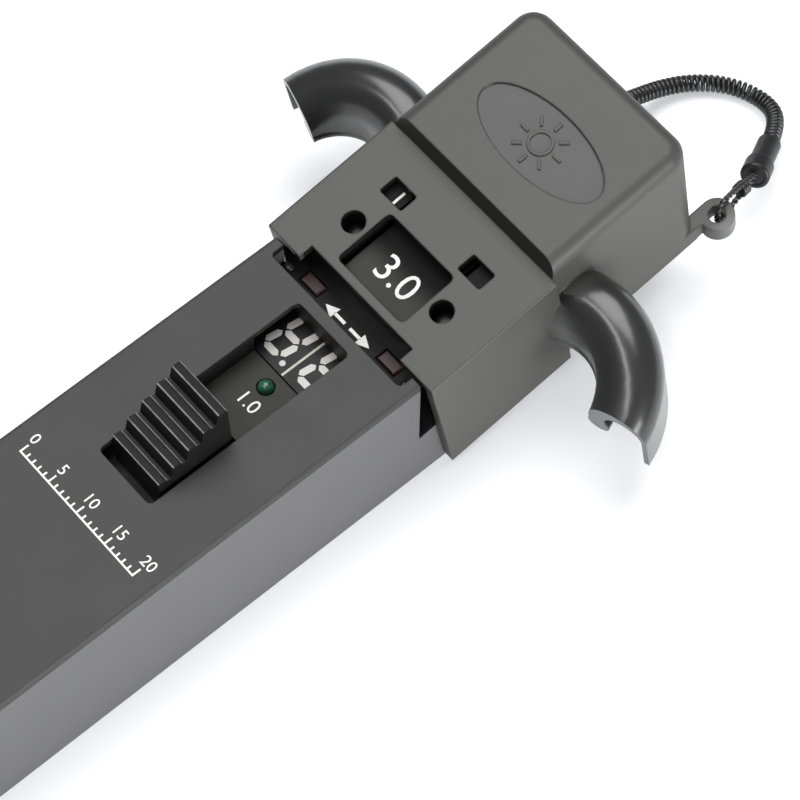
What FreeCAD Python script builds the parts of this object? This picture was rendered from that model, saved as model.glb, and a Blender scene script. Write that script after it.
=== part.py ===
"""Optical fibre identifier: a hand-held tester that clamps on a live fibre and shows its traffic.

Millimetres, +Z up, +Y towards the head. The origin lies on the rest face, on the centre line, below
the line where the head begins. The head is pitched nose up, and a light hood drops over it.
"""
import FreeCAD
import Part
import Sketcher
import math
import os
import re

V = FreeCAD.Vector
UP = V(0, 0, 1)
ALONG = V(0, 1, 0)
NEAR = 0.01
doc = FreeCAD.newDocument("fiber_identifier")
sheet = doc.addObject("Spreadsheet::Sheet", "Sizes")

SIZES = [
    # Case and cover
    ("case_length", 147.0, "tail face to the plane where the head begins"),
    ("case_width", 30.5, "outside width"),
    ("case_height", 27.0, "rest face to the cover's top"),
    ("case_wall", 1.8, "side and tail walls"),
    ("case_floor", 1.8, "floor under the works"),
    ("tail_radius", 2.5, "upright tail corners"),
    ("front_gap", 0.3, "side walls end this far behind the hood"),
    ("bulkhead_thick", 1.4, "wall between the case and the head"),
    ("cover_thick", 1.2, "flat top cover"),
    ("cover_lip", 1.6, "rim of the cover inside the walls"),
    ("cover_bevel", 0.4, "broken top edges of the cover"),
    ("seat_gap", 0.15, "room round a piece that seats in another"),
    ("overrun", 1.0, "cutting blocks reach this far past what they cut"),
    ("root_sink", 0.5, "ribs and posts start this far inside a wall"),
    ("slot_width", 10.8, "slot for the display and the thumb slide"),
    ("slot_front", 4.5, "front end of that slot, behind the head line"),
    ("screen_thick", 0.8, "wall that drops from the slot's front end"),
    ("screen_gap", 0.25, "its lower edge above the display"),
    ("slot_length", 34.5, "length of that slot"),
    ("slot_radius", 0.8, "its corners"),
    ("strip_inset", 1.75, "indicator strip inside the case's sides"),
    ("strip_width", "=case_width - 2 * strip_inset", "indicator strip, across"),
    ("strip_back", 2.6, "its rear edge, behind the head line"),
    ("recess_depth", 4.5, "cover's top down to the display and legends"),
    ("post_radius", 2.2, "screw posts"),
    ("post_inset", 2.2, "wall's inner face to the middle of a post"),
    ("post_front", 19.0, "front pair of posts, behind the head line"),
    ("post_ahead", 6.5, "rear pair of posts, ahead of the door"),
    ("post_rear", "=case_length - door_length - post_ahead", "rear pair of posts"),
    ("post_split", 2.0, "cover's share of a post"),
    ("cover_screw_radius", 1.1, "shank of a cover screw"),
    ("cover_screw_head", 1.9, "head radius of a cover screw"),
    ("cover_screw_sink", 1.2, "depth of its countersunk seat"),
    # Battery bay
    ("battery_length", 45.5, "case of a nine volt battery"),
    ("battery_side", 0.2, "room beside it"),
    ("battery_width", "=case_width - 2 * case_wall - 2 * battery_side", "its width"),
    ("battery_height", 17.5, "its height"),
    ("battery_round", 2.0, "its long edges"),
    ("stud_height", 2.9, "snap terminals"),
    ("stud_radius", 2.9, "the male terminal"),
    ("socket_radius", 3.6, "the female terminal"),
    ("stud_spacing", 12.7, "terminal to terminal"),
    ("clip_thick", 4.0, "snap connector"),
    ("clip_inset", 0.8, "its sides, inside the battery's"),
    ("clip_width", "=battery_width - 2 * clip_inset", "its width"),
    ("clip_height", 12.0, "its height"),
    ("battery_rib", 20.0, "ribs beside the battery, from the tail"),
    ("battery_rib_length", 8.0, "their length"),
    ("door_length", 52.0, "battery door, from the tail"),
    ("door_gap", 0.25, "room round the door"),
    ("door_tongue", 0.7, "door's edge inside the wall's groove"),
    ("door_tongue_thick", 0.9, "thickness of that edge"),
    ("door_grip_count", 5, "finger grooves across the door"),
    ("door_grip_start", 6.0, "first groove, behind the door's front edge"),
    ("door_grip_pitch", 2.2, "groove to groove"),
    ("door_grip_width", 1.1, "one groove"),
    ("door_grip_depth", 0.5, "depth of a groove"),
    ("battery_lift", 0.3, "battery above the door"),
    # Boards and indicators
    ("board_thick", 1.6, "circuit boards"),
    ("main_board_level", 6.0, "underside of the main board"),
    ("main_board_width", 16.4, "main board, across"),
    ("board_ahead", 9.0, "its rear edge, ahead of the door"),
    ("board_behind", 3.5, "its front edge, behind the spring's stop"),
    ("main_board_rear", "=case_length - door_length - board_ahead", "behind the head line"),
    ("main_board_length", "=main_board_rear - web_rear - spring_length - stop_thick - board_behind",
     "its length"),
    ("board_post_radius", 1.6, "posts under it"),
    ("board_post_inset", 3.0, "its edge to the middle of a post"),
    ("processor_side", 7.0, "square chip"),
    ("processor_share", 0.34, "its place, as a share of the board"),
    ("processor_place", "=processor_share * main_board_length", "from the board's rear edge"),
    ("amplifier_side", 4.5, "smaller square chip"),
    ("amplifier_share", 0.66, "its place, as a share of the board"),
    ("amplifier_place", "=amplifier_share * main_board_length", "from the board's rear edge"),
    ("chip_height", 1.3, "chips above the board"),
    ("capacitor_radius", 2.5, "upright capacitor"),
    ("capacitor_height", 7.0, "its height"),
    ("sounder_radius", 4.5, "round sounder"),
    ("sounder_height", 3.5, "its height"),
    ("display_width", 7.1, "one digit module"),
    ("display_length", 10.0, "along the case"),
    ("display_rear", 12.1, "its rear edge, behind the head line"),
    ("display_height", 5.0, "module above its board"),
    ("display_gap", 0.12, "seam between the modules"),
    ("rib_inner", 8.6, "middle to the inner face of a rib"),
    ("rib_thick", 1.5, "ribs that carry boards and the slide"),
    ("legend_front", 12.3, "legend tray's front end, behind the head line"),
    ("legend_rear", 23.0, "its rear end"),
    ("legend_thick", 1.0, "its floor, and the indicator panel"),
    ("tone_led_back", 14.8, "green lamp, behind the head line"),
    ("lamp_radius", 1.2, "green lamp"),
    ("lamp_flange", 1.5, "its collar"),
    ("lamp_flange_thick", 0.5, "thickness of a lamp's collar"),
    ("direction_led_x", 8.1, "red lamps, off the centre line"),
    ("direction_led_y", 0.5, "red lamps, past the head line"),
    ("lens_half", 1.8, "half the length of a red lamp's window"),
    ("lens_side", 1.0, "half its width"),
    ("lens_over", 0.2, "window above the panel"),
    ("lens_round", 0.35, "its rounded edges"),
    ("lens_collar", 0.25, "its collar, all round"),
    ("panel_front", 4.2, "indicator panel's front end"),
    # Thumb slide and its push rod
    ("knob_width", 9.7, "ribbed thumb slide"),
    ("knob_front", 24.3, "its front foot, behind the head line"),
    ("knob_length", 12.6, "its length"),
    ("knob_over", 2.2, "lowest tread above the cover"),
    ("knob_first", "=case_height + knob_over", "height of the lowest tread"),
    ("knob_rise", 1.68, "tread to tread"),
    ("knob_treads", 5, "number of treads"),
    ("knob_tread", 1.5, "width of one tread"),
    ("tread_fall", 0.35, "a tread falls towards the head by this"),
    ("groove_depth", 0.4, "groove between two treads"),
    ("groove_lean", 0.15, "slope of its rear wall"),
    ("riser_lean", 0.5, "slope of the riser above it"),
    ("knob_crown", 0.6, "front face leans back by this"),
    ("carriage_width", 19.6, "plate under the thumb slide"),
    ("carriage_thick", 1.5, "its thickness"),
    ("carriage_over", 4.0, "plate past the thumb slide's rear"),
    ("slide_gap", 0.15, "room under what slides"),
    ("guide_inner", 7.0, "cover's guides over the carriage, off the centre line"),
    ("web_rear", 30.0, "drop web's rear face, behind the head line"),
    ("web_length", 4.0, "its length"),
    ("web_width", 6.0, "its width"),
    ("push_rod_thick", 1.8, "push rod's thickness"),
    ("rod_gap", 0.5, "push rod below the display board"),
    ("rod_clear", 0.6, "room round the push rod in the bulkhead and the head"),
    ("push_rod_low", "=case_height - recess_depth - display_height - board_thick - rod_gap - push_rod_thick",
     "underside of the push rod"),
    ("push_rod_width", 4.0, "its width"),
    ("push_rod_front", 11.0, "its front end, past the head line"),
    ("push_post_near", 5.2, "upright that carries the adapter, past the near edge"),
    ("push_post_length", 3.5, "its length"),
    ("push_post_foot", 14.0, "its foot inside the rod, below the plate"),
    ("spring_radius", 2.2, "half the width and height of the bent strip"),
    ("spring_strip", 1.0, "strip, measured across the case"),
    ("spring_bends", 8, "number of bends"),
    ("spring_length", 16.0, "between its seats"),
    ("spring_drop", 0.9, "its top, below the carriage"),
    ("spring_level", "=case_height - recess_depth - legend_thick / 2 - carriage_thick - spring_drop"
     " - spring_radius", "its middle line"),
    ("stop_thick", 1.5, "rib behind the spring"),
    # Head and hood: the head's own frame starts at the hood's near top edge
    ("head_pitch", 9.7, "nose-up angle of the head"),
    ("hood_edge_over", 0.4, "hood's near top edge above the cover"),
    ("hood_edge_height", "=case_height + hood_edge_over", "that edge above the rest face"),
    ("hood_over", 1.9, "hood past the case, each side"),
    ("hood_width", "=case_width + 2 * hood_over", "plate part of the hood"),
    ("block_inset", 1.0, "raised far part inside the plate part, each side"),
    ("hood_block_width", "=hood_width - 2 * block_inset", "raised far part of the hood"),
    ("hood_length", 48.6, "near edge to far face"),
    ("skirt_clear", 1.18, "skirt's edge above the rest face, at the head line"),
    ("hood_depth", "=(hood_edge_height - skirt_clear) / cos(head_pitch * 1 deg)",
     "plate's top to the skirt's edge"),
    ("hood_wall", 1.6, "moulded wall"),
    ("hood_step", 22.6, "near edge to the step"),
    ("step_run", 1.0, "slope of the step, along"),
    ("step_rise", 3.0, "height of the step"),
    ("hood_round", 2.4, "rounded top edges of the raised part"),
    ("hood_corner", 0.8, "its rounded far corners"),
    ("hood_edge_round", 0.35, "broken edges of the plate"),
    ("notch_width", 21.1, "notch over the indicator strip"),
    ("notch_depth", 2.3, "its depth"),
    ("window_width", 13.6, "window over the adapter"),
    ("window_near", 3.6, "its near edge"),
    ("window_length", 9.7, "its length"),
    ("window_radius", 0.9, "its corners"),
    ("peep_x", 9.2, "round holes, off the centre line"),
    ("peep_y", 8.75, "round holes, past the near edge"),
    ("peep_radius", 1.75, "round holes"),
    ("port_x", 8.1, "square holes, off the centre line"),
    ("port_near", 14.45, "their near edge"),
    ("port_width", 4.5, "across"),
    ("port_length", 3.05, "along"),
    ("port_radius", 0.4, "their corners"),
    ("oval_y", 34.4, "middle of the sunk oval"),
    ("oval_x", 1.0, "off the centre line"),
    ("oval_long", 11.6, "half its length, across"),
    ("oval_short", 5.2, "half its width"),
    ("oval_depth", 0.35, "how deep it is sunk"),
    # Curved wings that lead the fibre out
    ("wing_out", 4.85, "middle of the bend, outside the plate"),
    ("wing_x", "=hood_width / 2 + wing_out", "middle of the bend, off the centre line"),
    ("wing_y", 13.95, "middle of the bend, past the near edge"),
    ("wing_z", 14.7, "middle of the bend, below the plate"),
    ("wing_droop", 22.5, "slope of the bend, towards the tail"),
    ("wing_bend", 12.4, "radius of the bend, seen from above"),
    ("wing_tube", 4.7, "radius of the arched top"),
    ("wing_bore", 3.0, "radius of the channel"),
    ("wing_bore_shift", 0.9, "channel nearer the outer side"),
    ("wing_side", 14.0, "sides below the arch, before they are trimmed level"),
    ("wing_foot", 20.9, "outer side's lower edge, below the plate"),
    ("wing_bead", 1.7, "rounded lip along the inner side"),
    ("wing_lip", 15.3, "lip's middle, below the plate"),
    ("wing_lip_out", 0.2, "lip stands out past the inner side"),
    ("wing_end", 15.0, "angle where the wing ends"),
    ("wing_sweep", 120.0, "angle that it covers"),
    ("fibre_slot_y", 23.8, "near side of the fibre's slot"),
    ("fibre_slot", 3.6, "its width"),
    ("fibre_slot_depth", 11.5, "its floor, below the plate"),
    ("hood_port", 4.4, "fibre's way through the hood's side"),
    ("hood_port_top", 7.6, "top of that way, below the plate"),
    # Lug and tether
    ("lug_in", 0.65, "tether lug's middle, inside the plate's side"),
    ("lug_x", "=hood_width / 2 - lug_in", "tether lug, off the centre line"),
    ("lug_over", 3.0, "its middle, past the hood's far face"),
    ("lug_radius", 2.6, "ring"),
    ("lug_hole", 1.3, "hole"),
    ("lug_thick", 3.2, "thickness"),
    ("lug_up", 0.3, "lug above the skirt's edge"),
    ("lug_top", "=hood_depth - lug_thick - lug_up", "its top, below the plate"),
    ("tab_x", 7.5, "tab on the head, off the centre line"),
    ("tab_over", 2.2, "its hole, past the hood's far face"),
    ("tab_width", 4.4, "tab"),
    ("tab_thick", 2.4, "tab"),
    ("tab_root_far", 12.0, "tab's foot on the head, before the far face"),
    ("tab_root_near", 5.0, "end of that foot"),
    ("tether_radius", 1.4, "outside of the curly tether"),
    ("ferrule_radius", 2.2, "drum of an end sleeve"),
    ("ferrule_neck", 1.8, "narrow part of a sleeve"),
    ("ferrule_length", 3.2, "length of the drum"),
    ("hood_sleeve", 8.9, "whole sleeve at the hood's end"),
    ("case_sleeve", 4.6, "whole sleeve at the case's end"),
    ("link_wire", 0.4, "thin cord of the loops"),
    ("link_room", 0.7, "loop's cord above and below what it is tied to"),
    ("link_spread", 0.55, "loop's ends, off the sleeve's middle"),
    # Head frame and what it carries
    ("head_gap", 0.4, "room between the head and the hood"),
    ("head_near", 4.6, "head's near face"),
    ("tongue_top", 16.0, "seat of the head on the case, below the plate"),
    ("tongue_end", 20.4, "end of that seat, past the near edge"),
    ("channel_width", 14.0, "adapter's channel"),
    ("channel_depth", 9.0, "its floor, below the plate"),
    ("adapter_width", 12.6, "adapter"),
    ("adapter_top", 2.7, "its face, below the plate"),
    ("adapter_thick", 5.5, "its body"),
    ("adapter_lip", 1.0, "thin rear edge under the window"),
    ("adapter_near", 3.6, "that edge, past the near edge"),
    ("adapter_body", 6.4, "its body's near face"),
    ("adapter_nose", 3.0, "length of the curved nose"),
    ("adapter_reach", 0.4, "nose past the slot's near side"),
    ("nose_radius", 14.0, "curve of the nose"),
    ("detector_x", 7.2, "light detectors, off the centre line"),
    ("detector_radius", 1.9, "light detectors"),
    ("detector_length", 5.0, "light detectors"),
    ("head_screw_radius", 1.1, "shank"),
    ("head_screw_head", 1.6, "head radius"),
    ("head_screw_top", 4.4, "head's top, below the plate"),
    ("head_screw_head_thick", 1.4, "head"),
    ("head_screw_bite", 5.0, "thread in the case"),
]
ALIASES = {alias for alias, value, note in SIZES}
for row, (alias, value, note) in enumerate(SIZES, start=1):
    sheet.set(f"A{row}", note)
    sheet.set(f"B{row}", str(value))
    sheet.setAlias(f"B{row}", alias)
doc.recompute()


def size(alias):
    """The sheet's value of one driving dimension."""
    return float(sheet.get(alias))


def formula(text):
    """An expression in which each driving dimension is read from the sheet."""
    return re.sub(r"[a-z][a-z_]*", lambda word: f"Sizes.{word[0]}" if word[0] in ALIASES else word[0], text)


def box(name, x, y, z):
    """A block between two ends on each axis, given as formulas."""
    block = doc.addObject("Part::Box", name)
    for side, axis, (low, high) in (("Length", "x", x), ("Width", "y", y), ("Height", "z", z)):
        block.setExpression(side, formula(f"({high}) - ({low})"))
        block.setExpression(f"Placement.Base.{axis}", formula(low))
    return block


def across(half):
    """Two ends, the same distance each side of the centre line."""
    return f"-({half})", half


AXIS_TURNS = {"z": (V(0, 0, 1), 0), "y": (V(1, 0, 0), -90), "x": (V(0, 1, 0), 90)}


def round_bar(name, radius, centre, length, axis="z"):
    """A cylinder that starts at a point and runs along an axis."""
    bar = doc.addObject("Part::Cylinder", name)
    bar.Placement = FreeCAD.Placement(V(), FreeCAD.Rotation(*AXIS_TURNS[axis]))
    bar.setExpression("Radius", formula(radius))
    bar.setExpression("Height", formula(length))
    for letter, place in zip("xyz", centre):
        bar.setExpression(f"Placement.Base.{letter}", formula(place))
    return bar


def fused(name, *solids):
    """One solid from several."""
    union = doc.addObject("Part::MultiFuse", name)
    union.Shapes = list(solids)
    union.Refine = True
    return union


def cut(name, base, *tools):
    """A solid less other solids."""
    result = doc.addObject("Part::Cut", name)
    result.Base = base
    result.Tool = tools[0] if len(tools) == 1 else fused(f"{name}_tools", *tools)
    result.Refine = True
    return result


def softened(name, base, radius, choose):
    """A solid with the chosen edges rounded."""
    doc.recompute()
    rounding = doc.addObject("Part::Fillet", name)
    rounding.Base = base
    edges = enumerate(base.Shape.Edges, start=1)
    rounding.Edges = [(number, radius, radius) for number, edge in edges if choose(edge)]
    return rounding


def runs_along(edge, axis):
    """Whether an edge is straight and parallel to an axis."""
    if edge.Curve.TypeId != "Part::GeomLine":
        return False
    return abs(abs(edge.Curve.Direction.dot(axis)) - 1) < 1e-6


def rounded_hole(name, x, y, z, radius):
    """A block with rounded upright corners, to be cut out."""
    return softened(f"{name}_corners", box(name, x, y, z), radius, lambda edge: runs_along(edge, UP))


def outline_body(name, plane, points, length):
    """A body padded both ways from a closed outline whose corners are formulas."""
    body = doc.addObject("PartDesign::Body", name)
    sketch = body.newObject("Sketcher::SketchObject", f"{name}_outline")
    support = next(item for item in body.Origin.OriginFeatures if item.Role == plane)
    sketch.AttachmentSupport = [(support, "")]
    sketch.MapMode = "FlatFace"
    count = len(points)
    turns = [math.tau * step / count for step in range(count)]
    start = [V(math.cos(turn), math.sin(turn), 0) for turn in turns]
    for step in range(count):
        sketch.addGeometry(Part.LineSegment(start[step], start[(step + 1) % count]), False)
    for step in range(count):
        sketch.addConstraint(Sketcher.Constraint("Coincident", step, 2, (step + 1) % count, 1))
    for step, corner in enumerate(points):
        for kind, text in zip(("DistanceX", "DistanceY"), corner):
            number = sketch.addConstraint(Sketcher.Constraint(kind, -1, 1, step, 1, 1.0))
            sketch.setExpression(f"Constraints[{number}]", formula(text))
    pad = body.newObject("PartDesign::Pad", f"{name}_pad")
    pad.Profile = sketch
    pad.Midplane = True
    pad.setExpression("Length", formula(length))
    doc.recompute()
    return body


def rounded_body(body, radius, choose, kind="Fillet"):
    """The body with the chosen edges of its last feature rounded, or bevelled."""
    tip = body.Tip
    names = [f"Edge{number}" for number, edge in enumerate(tip.Shape.Edges, start=1) if choose(edge)]
    rounding = body.newObject(f"PartDesign::{kind}", f"{body.Name}_edge{len(body.Group)}")
    rounding.Base = (tip, names)
    rounding.setExpression({"Fillet": "Radius", "Chamfer": "Size"}[kind], formula(radius))
    doc.recompute()


def at_tail(edge):
    """Whether an edge is one of the upright corners at the tail."""
    return runs_along(edge, UP) and edge.CenterOfMass.y < NEAR - size("case_length")


HEAD = FreeCAD.Placement(V(0, 0, size("hood_edge_height")), FreeCAD.Rotation(V(1, 0, 0), size("head_pitch")))
SIDES = (("left", "-"), ("right", ""))
nodes = []


def in_head(name, *solids):
    """Solids drawn in the head's frame, set where the head is."""
    group = doc.addObject("Part::Compound", name)
    group.Links = list(solids)
    group.Placement = HEAD
    return group


def node(label, solid, frame=None):
    """Name a finished sub-part and set it in its frame."""
    solid.Label = label
    if frame is not None:
        solid.Placement = frame
    nodes.append(solid)


# Lower case: a deep tray with a tongue that carries the pitched head
INNER = "case_width / 2 - case_wall"
SPLIT = "case_height - cover_thick"
SEAT = "case_height - recess_depth"
PANEL_LOW = f"{SEAT} - legend_thick"
BULKHEAD = "-front_gap - bulkhead_thick"
ROOT = "case_floor - root_sink"
PITCH = "head_pitch * 1 deg"
TONGUE_Y = f"tongue_end * cos({PITCH}) + tongue_top * sin({PITCH})"
TONGUE_Z = f"hood_edge_height + tongue_end * sin({PITCH}) - tongue_top * cos({PITCH})"
TONGUE_NEAR_Z = f"hood_edge_height - front_gap * tan({PITCH}) - tongue_top / cos({PITCH})"
case_form = outline_body("case_form", "YZ_Plane", [
    ("-case_length", "0"),
    (f"{TONGUE_Y} + ({TONGUE_Z}) * tan({PITCH})", "0"),
    (TONGUE_Y, TONGUE_Z),
    ("-front_gap", TONGUE_NEAR_Z),
    ("-front_gap", SPLIT),
    ("-case_length", SPLIT),
], "case_width")
rounded_body(case_form, "tail_radius", at_tail)
case_cavity = box("case_cavity", across(INNER), ("case_wall - case_length", BULKHEAD),
                  ("case_floor", "case_height"))
bulkhead_run = (f"{BULKHEAD} - overrun", "overrun")
bulkhead_top = box("bulkhead_top", across(INNER), bulkhead_run, (PANEL_LOW, "case_height"))
ROD_ROOM = "push_rod_width / 2 + rod_clear"
rod_way = box("rod_way", across(ROD_ROOM), bulkhead_run,
              ("push_rod_low - rod_clear", "push_rod_low + push_rod_thick + rod_clear"))
DOOR_FRONT = "door_length - case_length"
DOOR_EDGE = f"{INNER} + door_tongue"
door_run = ("-case_length - overrun", DOOR_FRONT)
door_way = box("door_way", across(INNER), door_run, ("-overrun", "case_floor + door_gap"))
door_groove = box("door_groove", across(f"{DOOR_EDGE} + door_gap"), door_run,
                  ("case_floor - door_tongue_thick - door_gap", "case_floor + door_gap"))
case_shell = cut("case_shell", case_form, case_cavity, bulkhead_top, rod_way, door_way, door_groove)

CARRIAGE_TOP = f"{SEAT} - 0.5 * legend_thick"
CARRIAGE_LOW = f"{CARRIAGE_TOP} - carriage_thick"
BOARD_LOW = f"{SEAT} - display_height - board_thick"
SPRING_REAR = "-web_rear - spring_length"
POST_X = f"{INNER} - post_inset"
BORE = "cover_screw_radius + seat_gap / 3"
case_adds = []
case_cuts = []
for side, sign in SIDES:
    rib = tuple(f"{sign}(rib_inner + {share} * rib_thick)" for share in ((1, 0) if sign else (0, 1)))
    wall = (f"{sign}({INNER} + root_sink / 2)", f"{sign}battery_width / 2")
    case_adds.append(box(f"slide_rib_{side}", rib, (f"{SPRING_REAR} - stop_thick", "-legend_rear - overrun"),
                         (ROOT, f"{CARRIAGE_LOW} - slide_gap")))
    case_adds.append(box(f"display_rib_{side}", rib, ("-display_rear", BULKHEAD), (ROOT, BOARD_LOW)))
    case_adds.append(box(f"battery_rib_{side}", wall if sign else wall[::-1],
                         ("battery_rib - case_length", "battery_rib + battery_rib_length - case_length"),
                         ("case_floor + 2 * door_gap", "case_floor + battery_height")))
    for end in ("front", "rear"):
        post = (f"{sign}({POST_X})", f"-post_{end}")
        case_adds.append(round_bar(f"case_post_{side}_{end}", "post_radius", (*post, "0"),
                                   f"{SPLIT} - post_split"))
        case_cuts.append(round_bar(f"post_bore_{side}_{end}", BORE, (*post, "-overrun"), "case_height"))
        case_cuts.append(round_bar(f"post_seat_{side}_{end}", "cover_screw_head + seat_gap",
                                   (*post, "-overrun"), "overrun + cover_screw_sink"))
        along = {"rear": "board_post_inset", "front": "main_board_length - board_post_inset"}[end]
        case_adds.append(round_bar(f"board_post_{side}_{end}", "board_post_radius",
                                   (f"{sign}(main_board_width / 2 - board_post_inset)",
                                    f"{along} - main_board_rear", ROOT), f"main_board_level - ({ROOT})"))
    lamp_room = tuple(f"{sign}direction_led_x {step} (lens_half + lens_collar + seat_gap)" for step in "-+")
    case_cuts.append(box(f"lamp_notch_{side}", lamp_room, bulkhead_run,
                         (f"{PANEL_LOW} - 2 * lamp_flange_thick", "case_height")))
spring_stop = box("spring_stop", across("rib_inner + root_sink"),
                  (f"{SPRING_REAR} - stop_thick", SPRING_REAR),
                  (ROOT, "spring_level + spring_radius + spring_drop / 2"))
head_pilots = in_head("head_pilots", *[
    round_bar(f"head_pilot_{side}", "head_screw_radius + seat_gap / 3",
              (f"{sign}peep_x", "peep_y", "-tongue_top - head_screw_bite"), "head_screw_bite + overrun")
    for side, sign in SIDES
])
case_solid = fused("case_solid", case_shell, spring_stop, *case_adds)
node("lower_case", cut("case_cut", case_solid, head_pilots, *case_cuts))

# Top cover: a flat plate with a rim inside the walls, a slot for the works and a notch at the head
cover_plate = outline_body("cover_plate", "XY_Plane", [
    ("-case_width / 2", "-case_length"),
    ("case_width / 2", "-case_length"),
    ("case_width / 2", "-front_gap"),
    ("strip_width / 2", "-front_gap"),
    ("strip_width / 2", "-strip_back"),
    ("-strip_width / 2", "-strip_back"),
    ("-strip_width / 2", "-front_gap"),
    ("-case_width / 2", "-front_gap"),
], "cover_thick")
rounded_body(cover_plate, "tail_radius", at_tail)
rounded_body(cover_plate, "slot_radius", lambda edge: runs_along(edge, UP)
             and abs(edge.CenterOfMass.y + size("strip_back")) < NEAR)
rounded_body(cover_plate, "cover_bevel", lambda edge: runs_along(edge, ALONG) and edge.CenterOfMass.z > 0
             and edge.Length > size("case_length") / 2, "Chamfer")
cover_plate.setExpression("Placement.Base.z", formula(f"{SPLIT} + cover_thick / 2"))
LIP_HALF = f"{INNER} - seat_gap"
LIP_REAR = "case_wall + seat_gap - case_length"
LIP_FRONT = f"{BULKHEAD} - 4 * seat_gap"
lip_block = box("lip_block", across(LIP_HALF), (LIP_REAR, LIP_FRONT), (f"{SPLIT} - cover_lip", SPLIT))
lip_room = box("lip_room", across(f"{LIP_HALF} - cover_thick"),
               (f"{LIP_REAR} + cover_thick", f"{LIP_FRONT} - cover_thick"),
               (f"{SPLIT} - 2 * cover_lip", SPLIT))
cover_adds = []
cover_cuts = []
screws = []
for side, sign in SIDES:
    guide = tuple(f"{sign}(guide_inner + {share} * cover_thick)" for share in ((1, 0) if sign else (0, 1)))
    cover_adds.append(box(f"guide_{side}", guide, (SPRING_REAR, "-legend_rear - overrun"),
                          (f"{CARRIAGE_TOP} + slide_gap", f"{SPLIT} + root_sink")))
    for end in ("front", "rear"):
        post = (f"{sign}({POST_X})", f"-post_{end}")
        cover_adds.append(round_bar(f"cover_post_{side}_{end}", "post_radius - seat_gap",
                                    (*post, f"{SPLIT} - post_split"), "post_split"))
        cover_cuts.append(round_bar(f"cover_bore_{side}_{end}", BORE, (*post, f"{SPLIT} - post_split"),
                                    "post_split"))
        foot = (*post, "cover_screw_sink / 3")
        cap = round_bar(f"screw_head_{side}_{end}", "cover_screw_head", foot, "cover_screw_sink * 2 / 3")
        shank = round_bar(f"screw_shank_{side}_{end}", "cover_screw_radius", foot,
                          f"{SPLIT} - cover_screw_sink")
        screws.append(fused(f"screw_{side}_{end}", cap, shank))
cover_adds.append(box("screen", across("slot_width / 2 + cover_thick"),
                      ("-slot_front", "screen_thick - slot_front"),
                      (f"{SEAT} + screen_gap", f"{SPLIT} + root_sink")))
slot = rounded_hole("slot", across("slot_width / 2"), ("-slot_front - slot_length", "-slot_front"),
                    (f"{SPLIT} - overrun", "case_height + overrun"), size("slot_radius"))
cover_solid = fused("cover_solid", cover_plate, cut("cover_rim", lip_block, lip_room), *cover_adds)
node("top_cover", cut("cover_cut", cover_solid, slot, *cover_cuts))
cover_screws = doc.addObject("Part::Compound", "cover_screws")
cover_screws.Links = screws
node("cover_screws", cover_screws)

# Battery bay: a block battery, its snap connector, and a door that slides out at the tail
door_plate = box("door_plate", across(f"{INNER} - door_gap"), ("-case_length", f"{DOOR_FRONT} - door_gap"),
                 ("0", "case_floor"))
door_edges = box("door_edges", across(DOOR_EDGE), ("tail_radius - case_length", f"{DOOR_FRONT} - door_gap"),
                 ("case_floor - door_tongue_thick", "case_floor"))
grips = []
for number in range(int(size("door_grip_count"))):
    start = f"{DOOR_FRONT} - door_grip_start - {number} * door_grip_pitch"
    grips.append(box(f"door_grip_{number}", across("battery_width / 4"),
                     (f"{start} - door_grip_width", start), ("-overrun", "door_grip_depth")))
node("battery_door", cut("door_cut", fused("door_blank", door_plate, door_edges), *grips))

BATTERY_REAR = "case_wall + 4 * seat_gap - case_length"
BATTERY_FRONT = f"{BATTERY_REAR} + battery_length"
BATTERY_LOW = "case_floor + battery_lift"
STUD_Z = f"{BATTERY_LOW} + battery_height / 2"
battery_box = box("battery_box", across("battery_width / 2"), (BATTERY_REAR, BATTERY_FRONT),
                  (BATTERY_LOW, f"{BATTERY_LOW} + battery_height"))
battery_block = softened("battery_block", battery_box, size("battery_round"),
                         lambda edge: runs_along(edge, ALONG))
studs = []
sockets = []
for (side, sign), radius in zip(SIDES, ("stud_radius", "socket_radius")):
    studs.append(round_bar(f"stud_{side}", radius, (f"{sign}stud_spacing / 2", BATTERY_FRONT, STUD_Z),
                           "stud_height", "y"))
    sockets.append(round_bar(f"clip_socket_{side}", f"{radius} + seat_gap / 3",
                             (f"{sign}stud_spacing / 2", f"{BATTERY_FRONT} - overrun", STUD_Z),
                             "stud_height + overrun", "y"))
node("battery", fused("battery_body", battery_block, *studs))
clip_block = box("clip_block", across("clip_width / 2"), (BATTERY_FRONT, f"{BATTERY_FRONT} + clip_thick"),
                 (f"{STUD_Z} - clip_height / 2", f"{STUD_Z} + clip_height / 2"))
node("battery_clip", cut("clip_cut", clip_block, *sockets))

# Boards: the main board behind the slide, and the display board under the digits
BOARD_TOP = "main_board_level + board_thick"
board_plate = box("board_plate", across("main_board_width / 2"),
                  ("-main_board_rear", "main_board_length - main_board_rear"),
                  ("main_board_level", BOARD_TOP))
processor = box("processor", across("processor_side / 2"),
                ("processor_place - main_board_rear", "processor_place + processor_side - main_board_rear"),
                (BOARD_TOP, f"{BOARD_TOP} + chip_height"))
amplifier = box("amplifier", ("-amplifier_side", "0"),
                ("amplifier_place - main_board_rear", "amplifier_place + amplifier_side - main_board_rear"),
                (BOARD_TOP, f"{BOARD_TOP} + chip_height"))
capacitor = round_bar("capacitor", "capacitor_radius",
                      ("amplifier_side", "amplifier_place + capacitor_radius - main_board_rear", BOARD_TOP),
                      "capacitor_height")
sounder = round_bar("sounder", "sounder_radius", ("0", "1.5 * sounder_radius - main_board_rear", BOARD_TOP),
                    "sounder_height")
node("main_board", fused("main_board_solid", board_plate, processor, amplifier, capacitor, sounder))
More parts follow.
